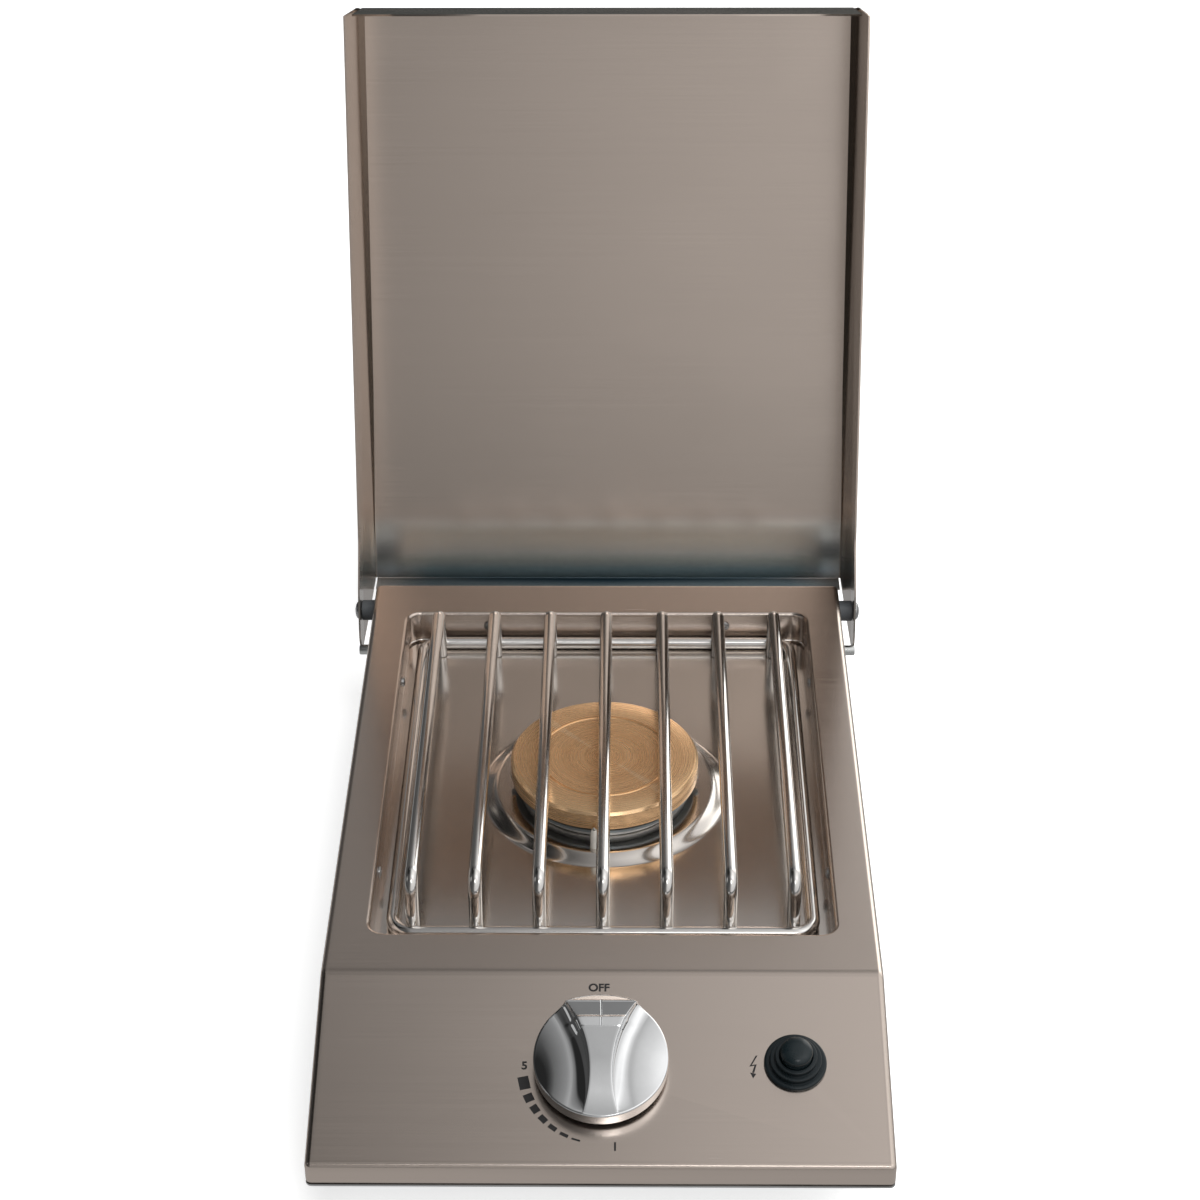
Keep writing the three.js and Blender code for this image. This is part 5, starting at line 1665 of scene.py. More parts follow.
@dataclass
class ControlKnob:
    """The chromed knob: a disc whose two wide scoops leave a waisted grip with a faceted head."""

    radius: float = 37.0
    lift: float = 3.6
    crown: float = 17.5
    edge: float = 1.1
    lower_edge: float = 0.4
    waist: float = 6.2
    sweep: float = 74.8
    shift: float = 12.0
    cove: float = 9.0
    lobe_height: float = 9.0
    lobe_fall: float = 2.6
    step_share: float = 0.52
    facet_share: float = 0.84
    step_height: float = 1.2
    step_run: float = 1.6
    band_length: float = 5.0
    band_rise: float = 0.9
    head_drop: float = 3.4
    nose_drop: float = 6.8
    end_height: float = 8.4
    ledge_drop: float = 0.3
    ledge_run: float = 0.35
    crease: float = 0.22
    side_round: tuple[tuple[float, float], ...] = ((0.40, 0.0), (0.20, 0.05), (0.06, 0.20), (0.0, 0.40))
    mark_section: tuple[tuple[float, float], ...] = ((0.0, 0.65), (0.3, 0.65), (0.5, 0.5), (0.62, 0.0))
    mark_fade: float = 0.3
    hollow_radius: float = 30.0
    hollow_height: float = 2.2
    hub_radius: float = 8.0
    stem_hole: float = 4.3
    stem_top: float = 15.3
    grip_steps: int = 72
    end_steps: int = 9
    half_columns: int = 6
    cove_steps: int = 14
    dish_steps: int = 16
    edge_steps: int = 6

    @property
    def flat(self) -> float:
        """Radius at which the knob's outer edge starts to round over."""
        return self.radius - self.edge

    @property
    def band_y(self) -> float:
        """Where the strip that rises to the step starts."""
        return self.radius * self.step_share - self.band_length

    def stations(self) -> list[tuple[float, float]]:
        """The grip's side view at its creases, as distance towards the head and height."""
        top, step_y = self.lift + self.crown, self.radius * self.step_share
        return [
            (self.band_y, top - self.band_rise), (step_y, top),
            (step_y + self.step_run, top - self.step_height),
            (self.radius * self.facet_share, top - self.head_drop), (self.radius, top - self.nose_drop),
        ]

    def sharp_top(self, y: float) -> float:
        """Height of the grip's top before its creases are rounded."""
        stations = self.stations()
        first_y, first_z = stations[0]
        if y <= first_y:
            share = (first_y - y) / (first_y + self.radius)
            ledge = self.ledge_drop * min(1.0, (first_y - y) / self.ledge_run)
            return first_z - ledge - (first_z - ledge - self.lift - self.end_height) * share ** 2
        for (y0, z0), (y1, z1) in zip(stations, stations[1:]):
            if y <= y1:
                return z0 + (z1 - z0) * (y - y0) / (y1 - y0)
        return stations[-1][1]

    def top(self, y: float) -> float:
        """Height of the grip's top with rounded creases."""
        shifts = (-1.5, -0.75, 0.0, 0.75, 1.5)
        return sum(self.sharp_top(y + self.crease * shift) for shift in shifts) / len(shifts)

    def half_width(self, y: float) -> float:
        """Half the grip's width where the round edge doesn't cut it."""
        return self.waist + self.sweep - math.sqrt(self.sweep ** 2 - (y + self.shift) ** 2)

    def corner(self, sign: int) -> float:
        """Where the grip's long side meets the round edge.

        Args:
            sign: 1 for the head and -1 for the lower end.

        Returns:
            The distance towards the head.
        """
        near, far = 0.0, self.flat * sign
        for _ in range(40):
            middle = (near + far) / 2
            if math.hypot(self.half_width(middle), middle) < self.flat:
                near = middle
            else:
                far = middle
        return near

    def grip_places(self) -> list[float]:
        """The rows of the grip between its corners, from head to lower end, close together at its creases."""
        head, tail = self.corner(1), self.corner(-1)
        steps = self.grip_steps
        places = [head + (tail - head) * (1 - math.cos(math.pi * k / steps)) / 2 for k in range(steps + 1)]
        for y, _ in self.stations():
            places.extend(y + self.crease * shift for shift in (-2.2, -1.5, -0.75, 0.0, 0.75, 1.5, 2.2))
        places = sorted((y for y in places if tail <= y <= head), reverse=True)
        return [y for k, y in enumerate(places) if k == 0 or places[k - 1] - y > self.crease / 4 or y == tail]

    def end_places(self, sign: int) -> list[float]:
        """The rows of the grip beyond one pair of corners, in order from head to lower end.

        Args:
            sign: 1 for the head and -1 for the lower end.

        Returns:
            The rows, the corners' own row not among them.
        """
        start, end, steps = self.corner(sign), self.flat * sign, self.end_steps
        rows = [start + (end - start) * math.sin(QUARTER * k / steps) for k in range(1, steps + 1)]
        return sorted(rows, reverse=True)

    def grip_row(self, y: float, width: float, rounding: float) -> list[Vector]:
        """One row across the grip's top.

        Args:
            y: distance towards the head.
            width: half the grip's width there.
            rounding: share of the side rounding that applies.

        Returns:
            The row from left to right.
        """
        z = self.top(y)
        ends = (self.band_y, self.radius * self.facet_share)
        sunk = max(0.0, min(1.0, (y - ends[0]) / self.mark_fade, (ends[1] - y) / self.mark_fade))
        squeeze = min(1.0, width / 3)
        half = [(x * squeeze, z - depth * sunk) for x, depth in self.mark_section]
        start = half[-1][0]
        finish = width - self.side_round[0][0] * squeeze
        columns = self.half_columns
        half.extend((start + (finish - start) * k / columns, z) for k in range(1, columns))
        half.extend((width - inset * squeeze, z - drop * rounding) for inset, drop in self.side_round)
        left = [Vector((-x, y, height)) for x, height in reversed(half)]
        right = [Vector((x, y, height)) for x, height in half[1:]]
        return left + right

    def scooped(self, x: float, y: float, side: int, rim: float) -> Vector:
        """A point on the scoop's surface.

        Args:
            x: distance to the right.
            y: distance towards the head.
            side: -1 for left and 1 for right.
            rim: height of the grip's side edge beside it.

        Returns:
            The point.
        """
        foot = self.sweep - self.cove
        inner = self.sweep + self.waist - self.radius
        out = math.hypot(x - side * (self.waist + self.sweep), y + self.shift)
        run = max(0.0, (foot - out) / (foot - inner))
        floor = self.lift + self.lobe_height - self.lobe_fall * run ** 2
        share = max(0.0, min(1.0, (self.sweep - out) / self.cove))
        climb = 1 - math.sqrt(1 - (1 - share) ** 2)
        return Vector((x, y, floor + (rim - floor) * climb))

    def scoop_row(self, near: Vector, far: Vector, side: int) -> list[Vector]:
        """One row of a scoop, from the grip's side edge to the round edge.

        Args:
            near: the point on the grip's edge.
            far: the point on the round edge, whose height isn't used.
            side: -1 for left and 1 for right.

        Returns:
            The row.
        """
        centre = Vector((side * (self.waist + self.sweep), -self.shift))
        start, run = near.xy, far.xy - near.xy
        length = run.length
        shares = []
        for k in range(self.cove_steps + 1):
            reach = self.sweep - self.cove * (1 - math.cos(QUARTER * k / self.cove_steps))
            if length == 0:
                shares.append(1.0)
                continue
            middle = (centre - start).dot(run) / length ** 2
            off = (start + run * middle - centre).length
            root = math.sqrt(max(0.0, reach ** 2 - off ** 2)) / length
            crossing = middle - root if off < reach else 1.0
            shares.append(max(0.0, min(1.0, crossing)))
        last = shares[-1]
        shares.extend(last + (1 - last) * k / self.dish_steps for k in range(1, self.dish_steps + 1))
        row = []
        for share in shares:
            spot = start + run * share
            row.append(self.scooped(spot.x, spot.y, side, near.z))
        row[0] = near.copy()
        return row

    def skirt(self, rim: Sequence[Vector]) -> list[list[Vector]]:
        """Loops from the rim over the rounded edge, down the wall and under the knob.

        Args:
            rim: the loop at which the round edge starts.

        Returns:
            The loops.
        """
        loops = [list(rim)]
        for k in range(1, self.edge_steps + 1):
            swing = QUARTER * k / self.edge_steps
            grow = (self.flat + self.edge * math.sin(swing)) / self.flat
            drop = self.edge * (1 - math.cos(swing))
            loops.append([Vector((point.x * grow, point.y * grow, point.z - drop)) for point in rim])
        hollow_top = self.lift + self.hollow_height
        under = [(self.radius, self.lift + self.lower_edge), (self.radius - self.lower_edge, self.lift),
                 (self.hollow_radius, self.lift), (self.hollow_radius, hollow_top),
                 (self.hub_radius, hollow_top), (self.hub_radius, self.lift),
                 (self.stem_hole, self.lift), (self.stem_hole, self.stem_top)]
        outwards = [Vector((point.x, point.y, 0.0)).normalized() for point in rim]
        for radius, z in under:
            loops.append([direction * radius + Z_AXIS * z for direction in outwards])
        return loops

    def build(self) -> bpy.types.Object:
        """Builds the knob and returns its piece."""
        grip = self.grip_places()
        head, tail = self.end_places(1), self.end_places(-1)
        rows = []
        for y in head + grip + tail:
            between = tail[0] < y < head[-1]
            width = self.half_width(y) if between else math.sqrt(max(0.0, self.flat ** 2 - y ** 2))
            near_corner = min(grip[0] - y, y - grip[-1])
            rows.append(self.grip_row(y, width, max(0.0, min(1.0, near_corner))))
        skin = Skin().loft(rows)
        sides = {}
        for side in (-1, 1):
            edge = [rows[len(head) + k][-1 if side > 0 else 0] for k in range(len(grip))]
            start, end = (math.atan2(point.y, abs(point.x)) for point in (edge[0], edge[-1]))
            scoop = []
            for k, near in enumerate(edge):
                angle = start + (end - start) * k / (len(edge) - 1)
                far = Vector((side * self.flat * math.cos(angle), self.flat * math.sin(angle), 0.0))
                far = near.copy() if k in (0, len(edge) - 1) else far
                scoop.append(self.scoop_row(near, far, side))
            skin.loft(scoop)
            upper = [row[-1 if side > 0 else 0] for row in rows[:len(head)]]
            lower = [row[-1 if side > 0 else 0] for row in rows[len(head) + len(grip):]]
            sides[side] = upper + [row[-1] for row in scoop] + lower
        rim = sides[1] + sides[-1][-2:0:-1]
        loops = self.skirt(rim)
        skin.loft(loops, around=True).cap(loops[-1])
        skin.moved(LAYOUT.knob_place())
        knob = Bench.piece("grip_knob", skin, Body.KNOB, Slot.CHROME, Finishes.chrome, ["control_knob"],
                           smooth=50.0)
        Bench.even_shading(knob)
        return knob


@dataclass
class Igniter:
    """The push button of the ignition and its stepped collar."""

    collar_radius: float = 17.2
    collar_rise: float = 2.6
    step_radius: float = 14.2
    step_rise: float = 6.0
    crown_radius: float = 11.6
    crown_rise: float = 9.4
    neck_radius: float = 10.5
    neck_drop: float = 10.0
    button_radius: float = 8.9
    button_rise: float = 16.5
    dome: float = 3.4
    dome_fullness: float = 0.72
    dome_steps: int = 16
    travel: float = 5.0
    running_gap: float = 0.35
    edge: float = 0.55
    step_foot: float = 0.3
    around: int = 96

    def step(self, radius: float, low: float, high: float) -> list[tuple[float, float]]:
        """One step of the collar, from the foot of its wall over its rounded edge."""
        foot, e = self.step_foot, self.edge
        return [(radius + foot, low), (radius, low + foot), *Shapes.curve(radius - e, high - e, e, e, 5)]

    def collar(self) -> bpy.types.Object:
        """Builds the collar."""
        bore, half, foot = self.button_radius + self.running_gap, self.collar_rise / 2, self.step_foot
        profile = [(bore, -self.neck_drop), (self.neck_radius, -self.neck_drop),
                   (self.neck_radius, LAYOUT.gap), (self.collar_radius, LAYOUT.gap)]
        profile += Shapes.curve(self.collar_radius - half, half, half, half, 5)
        profile += self.step(self.step_radius, self.collar_rise, self.step_rise)
        profile += self.step(self.crown_radius, self.step_rise, self.crown_rise)
        profile += [(bore + foot, self.crown_rise), (bore, self.crown_rise - foot), (bore, -self.neck_drop)]
        skin = Shapes.lathe(profile, self.around).moved(LAYOUT.igniter_place())
        return Bench.piece("button_collar", skin, Body.BASE, Slot.PLASTIC, Finishes.plastic,
                           ["igniter_collar"])

    def button(self) -> bpy.types.Object:
        """Builds the domed button."""
        r, rim = self.button_radius, self.button_rise - self.dome
        profile = [(0.0, -self.travel / 2), (r, -self.travel / 2), (r, rim - 0.6)]
        for k in range(self.dome_steps + 1):
            angle = QUARTER * k / self.dome_steps
            profile.append((r * math.cos(angle) ** self.dome_fullness, rim + self.dome * math.sin(angle)))
        skin = Shapes.lathe(profile, self.around).moved(LAYOUT.igniter_place())
        return Bench.piece("push_button", skin, Body.IGNITER, Slot.PLASTIC, Finishes.button,
                           ["igniter_button"])

    def build(self) -> None:
        """Builds collar and button."""
        self.collar()
        self.button()


@dataclass
class PanelMarks:
    """Plain printed marks: the off word, dial numbers, shrinking blocks and a spark sign."""

    scale_radius: float = 43.0
    block_angles: tuple[float, ...] = (12.7, 24.4, 34.0, 43.5, 53.0, 62.8, 72.1)
    block_widest: float = 6.0
    block_narrowest: float = 1.1
    first_length: float = 7.8
    block_length: float = 4.9
    scale_stretch: float = 1.08
    letter_height: float = 4.8
    letter_weight: float = 0.22
    off_place: tuple[float, float] = (-1.5, 10.9)
    high_place: tuple[float, float] = (-42.0, 60.0)
    low_place: tuple[float, float] = (7.9, 108.6)
    spark_place: tuple[float, float] = (83.6, 60.2)
    spark_height: float = 14.0
    lift: float = 0.05

    def flat(self, x: float, along: float) -> Matrix:
        """A place just above the panel."""
        return LAYOUT.panel_place(x, along) @ Matrix.Translation((0.0, 0.0, self.lift))

    def blocks(self) -> Skin:
        """The blocks that shrink from high to low."""
        skin = Skin()
        count = len(self.block_angles)
        for k, degrees in enumerate(self.block_angles):
            share = k / (count - 1)
            radial = self.block_widest + (self.block_narrowest - self.block_widest) * share
            tangent = self.block_length if k else self.first_length
            angle = math.pi + math.radians(degrees)
            out = Vector((math.cos(angle), math.sin(angle), 0.0))
            along = Vector((-out.y, out.x, 0.0))
            centre = out * self.scale_radius
            centre.y *= self.scale_stretch
            skin.cap([centre + out * (a * radial / 2) + along * (b * tangent / 2) for a, b in CORNERS])
        return skin.moved(self.flat(0.0, LAYOUT.knob_along))

    def spark(self) -> Skin:
        """The spark sign: a bent stroke that ends in an arrow head."""
        h = self.spark_height
        stroke = [(0.10, 0.50), (-0.16, 0.02), (0.04, 0.06), (-0.06, -0.24), (0.02, -0.26), (0.13, 0.12),
                  (-0.06, 0.09), (0.17, 0.50)]
        head = [(-0.14, -0.24), (0.10, -0.30), (-0.03, -0.50)]
        skin = Skin()
        for shape in (stroke, head):
            skin.plate([[Vector((x * h, y * h, 0.0)) for x, y in shape]])
        return skin.moved(self.flat(*self.spark_place))

    def word(self, text: str, spot: tuple[float, float]) -> Skin:
        """A short word or number set flat on the panel.

        Args:
            text: what it says.
            spot: its middle, as distances across and down the panel.

        Returns:
            The skin.
        """
        curve = bpy.data.curves.new("mark", "FONT")
        curve.body = text
        curve.size = self.letter_height * 1.4
        curve.offset = self.letter_weight
        curve.align_x = "CENTER"
        curve.align_y = "CENTER"
        holder = bpy.data.objects.new("mark", curve)
        bpy.context.scene.collection.objects.link(holder)
        bpy.context.view_layer.update()
        seen = holder.evaluated_get(bpy.context.evaluated_depsgraph_get())
        flat_mesh = bpy.data.meshes.new_from_object(seen)
        skin = Skin()
        skin.points = [vertex.co.copy() for vertex in flat_mesh.vertices]
        skin.faces = [tuple(face.vertices) for face in flat_mesh.polygons]
        bpy.data.objects.remove(holder)
        bpy.data.curves.remove(curve)
        bpy.data.meshes.remove(flat_mesh)
        return skin.moved(self.flat(*spot))

    def build(self) -> bpy.types.Object:
        """Builds every mark as one thin piece."""
        skin = self.blocks().grow(self.spark())
        for text, spot in (("OFF", self.off_place), ("5", self.high_place), ("1", self.low_place)):
            skin.grow(self.word(text, spot))
        skin.facing = LAYOUT.panel_place(0.0, 0.0).to_3x3() @ Z_AXIS
        return Bench.piece("panel_marks", skin, Body.BASE, Slot.PLASTIC, Finishes.ink)


@dataclass
class Lid:
    """The folded lid and the pivots that it turns on."""

    side_gap: float = 10.25
    reach: float = 401.0
    top: float = 86.0
    edge_below: float = 3.0
    sheet: float = 1.2
    bend: float = 4.0
    front_gap: float = 0.5
    rear_hem: float = 14.0
    pivot_drop: float = 17.0
    pivot_inset: float = 7.2
    lean: float = math.radians(17.65)
    ear_drop: float = 13.0
    ear_radius: float = 16.0
    ear_length: float = 33.0
    ear_front: float = 16.0
    blend_front: float = 48.0
    blend_radius: float = 25.0
    pivot_hole: float = 2.85
    bolt_radius: float = 2.5
    bolt_point: float = 0.4
    head_radius: float = 6.0
    head_height: float = 3.0
    head_rim: float = 0.6
    spacer_radius: float = 7.0
    nut_radius: float = 4.7
    nut_height: float = 4.0
    stop_radius: float = 3.5
    stop_edge: tuple[float, float] = (0.7, 0.2)
    running_gap: float = 0.35
    bend_steps: int = 8

    @property
    def half(self) -> float:
        """Half the lid's width."""
        return LAYOUT.half_deck + self.side_gap + self.sheet

    @property
    def pivot(self) -> Vector:
        """The pivot's place."""
        return Vector((0.0, LAYOUT.rear - self.pivot_inset, LAYOUT.deck_top - self.pivot_drop))

    @property
    def rear_top(self) -> float:
        """How far the panel's back edge lies in front of the pivot."""
        return -self.ear_length + (self.top + self.ear_drop) * math.tan(self.lean)

    def opened(self) -> Matrix:
        """From the closed attitude about the pivot to the open one."""
        return Matrix.Translation(self.pivot) @ Matrix.Rotation(-(QUARTER + self.lean), 4, "X")

    def flange(self, side: int) -> list[list[Vector]]:
        """The side flange's outline and its pivot hole.

        Args:
            side: -1 for left and 1 for right.

        Returns:
            The loops.
        """
        low, fold = -self.edge_below, self.top - self.bend
        slant = (self.top - fold) * math.tan(self.lean)
        along = [(y, fold, 0.0) for y in self.fold_places()]
        corners = [
            (-self.reach, low, 0.0), (-self.blend_front, low, self.blend_radius),
            (-self.ear_front, -self.ear_drop, self.blend_radius),
            (self.ear_length, -self.ear_drop, self.ear_radius),
            (-self.rear_top + slant, fold, 0.0), *along, (-self.reach, fold, 0.0),
        ]
        x = side * self.half
        outline = [Vector((x, y, z)) for y, z in Shapes.rounded(corners, 12)]
        return [outline, Shapes.circle(Vector((x, 0.0, 0.0)), Y_AXIS, Z_AXIS, self.pivot_hole, 32)]

    def fold_places(self) -> list[float]:
        """Where the panel's rows meet the side bends, from back to front."""
        shares = (0.25, 0.5, 0.75)
        middle = [-self.reach * share - self.rear_top * (1 - share) for share in shares]
        return [-self.rear_top - 0.8, *middle, -self.reach + self.bend]

    def panel_rows(self) -> list[tuple[float, float]]:
        """The section of panel, front flange and rear hem, from back to front."""
        hem_low = self.top - self.rear_hem
        hem_shift = self.rear_hem * math.tan(self.lean)
        gap_run = self.reach - self.pivot.y + LAYOUT.bend
        low = self.pivot_drop - gap_run * math.tan(LAYOUT.panel_slope) + self.front_gap
        rows = [(-self.rear_top + hem_shift, hem_low), (-self.rear_top + 0.6, self.top - 1.2),
                (-self.rear_top, self.top - 0.5)]
        rows += [(y, self.top) for y in self.fold_places()[:-1]]
        bend = self.bend
        rows += Shapes.curve(bend - self.reach, self.top - bend, -bend, bend, self.bend_steps)[::-1]
        rows.append((-self.reach, low))
        return rows

    def shell(self) -> bpy.types.Object:
        """Builds the folded sheet."""
        bend, inner = self.bend, self.half - self.bend
        skin = Skin().loft([[Vector((x, y, z)) for x in (-inner, -inner / 2, 0.0, inner / 2, inner)]
                            for y, z in self.panel_rows()])
        for side in (-1, 1):
            skin.plate(self.flange(side))
            skin.loft([[Vector((side * x, y, z)) for y in self.fold_places()]
                       for x, z in Shapes.curve(inner, self.top - bend, bend, bend, self.bend_steps)])
        skin.moved(self.opened())
        lid = Bench.piece("lid_sheet", skin, Body.LID, Slot.STAINLESS, Finishes.lid_sheet, ["lid_shell"],
                          smooth=40.0)
        Bench.thicken(lid, self.sheet, inward=Bench.looks(lid, Y_AXIS))
        return lid

    def bolt(self, bottom: float, seat: float) -> list[tuple[float, float]]:
        """The section of a bolt with a domed head.

        Args:
            bottom: where its shank ends.
            seat: where its head starts.

        Returns:
            The section from the end of the shank to the crown.
        """
        r, head, rim, point = self.bolt_radius, self.head_radius, self.head_rim, self.bolt_point
        shank = [(0.0, bottom), (r - point, bottom), (r, bottom + point), (r, seat)]
        crown = Shapes.curve(0.0, seat + rim, head, self.head_height - rim, 10)
        return [*shank, (head - rim / 2, seat), (head, seat + rim / 2), *crown]

    def stop(self, start: float, end: float) -> list[tuple[float, float]]:
        """The section of a stop stud with a rounded edge at its end."""
        r, (wide, slight) = self.stop_radius, self.stop_edge
        return [(0.0, start), (r, start), (r, end - wide), (r - slight, end - slight), (r - wide, end),
                (0.0, end)]

    def pivots(self) -> None:
        """Builds bolts, spacers, nuts and stops of both sides."""
        bore, outside = self.bolt_radius + LAYOUT.gap, LAYOUT.half_deck + LAYOUT.gap
        inside = LAYOUT.half_deck - LAYOUT.sheet - LAYOUT.gap
        bolt = self.bolt(inside - self.nut_height - self.bolt_radius / 2, self.half + self.running_gap)
        spacer = self.sleeve(bore, self.spacer_radius, outside, self.half - self.sheet - self.running_gap)
        stud = self.stop(outside, self.half)
        for word, side in (("left", -1), ("right", 1)):
            face = Shapes.sideways(self.pivot.y, self.pivot.z, side)
            self.turned(f"hinge_bolt_{word}", bolt, face, Finishes.screw_steel, Slot.ZINC,
                        f"pivot_bolt_{word}")
            self.turned(f"hinge_spacer_{word}", spacer, face, Finishes.nylon, Slot.NYLON,
                        f"pivot_spacer_{word}")
            self.nut(f"hinge_nut_{word}", bore, inside, face, f"pivot_nut_{word}")
            low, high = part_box(f"lid_stop_{word}")
            spot = (low + high) / 2 / MM
            self.turned(f"stop_stud_{word}", stud, Shapes.sideways(spot.y, spot.z, side), Finishes.zinc,
                        Slot.ZINC, f"lid_stop_{word}")

    @staticmethod
    def sleeve(bore: float, radius: float, start: float, end: float) -> list[tuple[float, float]]:
        """The section of a sleeve with broken edges."""
        e = 0.4
        return [(bore, start), (radius - e, start), (radius, start + e), (radius, end - e), (radius - e, end),
                (bore, end), (bore, start)]

    @staticmethod
    def turned(name: str, profile: Profile, face: Matrix, finish: Finish, slot: Slot, node: str) -> None:
        """Builds one turned piece of a pivot.

        Args:
            name: the piece's name.
            profile: its section as radius and distance from the middle of the lid.
            face: the matrix of the pivot.
            finish: its finish.
            slot: the record's slot.
            node: the node that it stands for.
        """
        Bench.piece(name, Shapes.lathe(profile, 48).moved(face), Body.BASE, slot, finish, [node])

    def nut(self, name: str, bore: float, outer: float, face: Matrix, node: str) -> None:
        """Builds a hexagon nut.

        Args:
            name: the piece's name.
            bore: radius of its hole.
            outer: distance of its seat from the middle of the lid.
            face: the matrix of the pivot.
            node: the node that it stands for.
        """
        low, high = ([Shapes.ring(self.nut_radius, z, 6), Shapes.ring(bore, z, 30)]
                     for z in (outer - self.nut_height, outer))
        skin = Skin().slab(low, high).moved(face)
        made = Bench.piece(name, skin, Body.BASE, Slot.ZINC, Finishes.zinc, [node])
        Bench.soften(made, 0.25)

    def build(self) -> None:
        """Builds the lid and its pivots."""
        self.shell()
        self.pivots()


@dataclass
class GasParts:
    """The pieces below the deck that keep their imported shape, and the pipe that shows at the side."""

    pipe_radius: float = 6.35
    pipe_wall: float = 1.5
    nut_radius: float = 11.0
    nut_chamfer: tuple[float, float] = (1.0, 0.7)

    @property
    def bore(self) -> float:
        """Radius of the pipe's bore."""
        return self.pipe_radius - self.pipe_wall

    def pipe(self) -> None:
        """Builds the inlet pipe and its nut."""
        low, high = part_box("inlet_pipe")
        middle = (low + high) / 2 / MM
        face = Shapes.sideways(middle.y, middle.z)
        profile = Lid.sleeve(self.bore, self.pipe_radius, low.x / MM, high.x / MM)
        Bench.piece("gas_pipe", Shapes.lathe(profile, 48).moved(face), Body.BASE, Slot.ZINC, Finishes.zinc,
                    ["inlet_pipe"])
        low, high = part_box("inlet_nut")
        Bench.piece("union_nut", self.union(low.x / MM, high.x / MM).moved(face), Body.BASE, Slot.BRASS,
                    Finishes.fitting_brass, ["inlet_nut"])

    def union(self, far: float, near: float) -> Skin:
        """The pipe's nut along Z.

        Args:
            far: where its outer end lies.
            near: where it ends on the pipe.

        Returns:
            The skin.
        """
        across, along = self.nut_chamfer
        seat, wide = near - self.pipe_radius - LAYOUT.gap, self.pipe_radius + LAYOUT.gap
        narrow = self.nut_radius - across
        rows = [Shapes.ring(radius, z, 6) for z, radius in
                ((far, narrow), (far + along, self.nut_radius),
                 (near - along, self.nut_radius), (near, narrow))]
        holes = [Shapes.ring(radius, z, 36) for z, radius in
                 ((near, wide), (seat, wide), (seat, self.bore), (far, self.bore))]
        skin = Skin().loft(rows, around=True).loft(holes, around=True)
        return skin.plate([rows[0], holes[-1]]).plate([rows[-1], holes[0]])

    def carried(self) -> None:
        """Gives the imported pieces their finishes."""
        for node, finish, rounding in (
            ("mixing_bowl", Finishes.valve_casting, 0.5),
            ("venturi_tube", Finishes.zinc, 0.2),
            ("air_shutter", Finishes.zinc, 0.2),
            ("gas_orifice", Finishes.fitting_brass, 0.2),
            ("valve_body", Finishes.valve_casting, 0.6),
            ("valve_bonnet", Finishes.zinc, 0.3),
            ("valve_screw_left", Finishes.screw_steel, 0.15),
            ("valve_screw_right", Finishes.screw_steel, 0.15),
            ("valve_seat_disc", Finishes.zinc, 0.1),
            ("valve_stem", Finishes.fitting_brass, 0.2),
            ("igniter_nut", Finishes.zinc, 0.3),
            ("igniter_barrel", Finishes.nylon, 0.3),
            ("electrode_clip", Finishes.zinc, 0.2),
            ("ignition_lead", Finishes.sleeve, 0.0),
        ):
            Bench.carry(node, finish, rounding)

    def build(self) -> None:
        """Builds the pipe and dresses the rest."""
        self.pipe()
        self.carried()


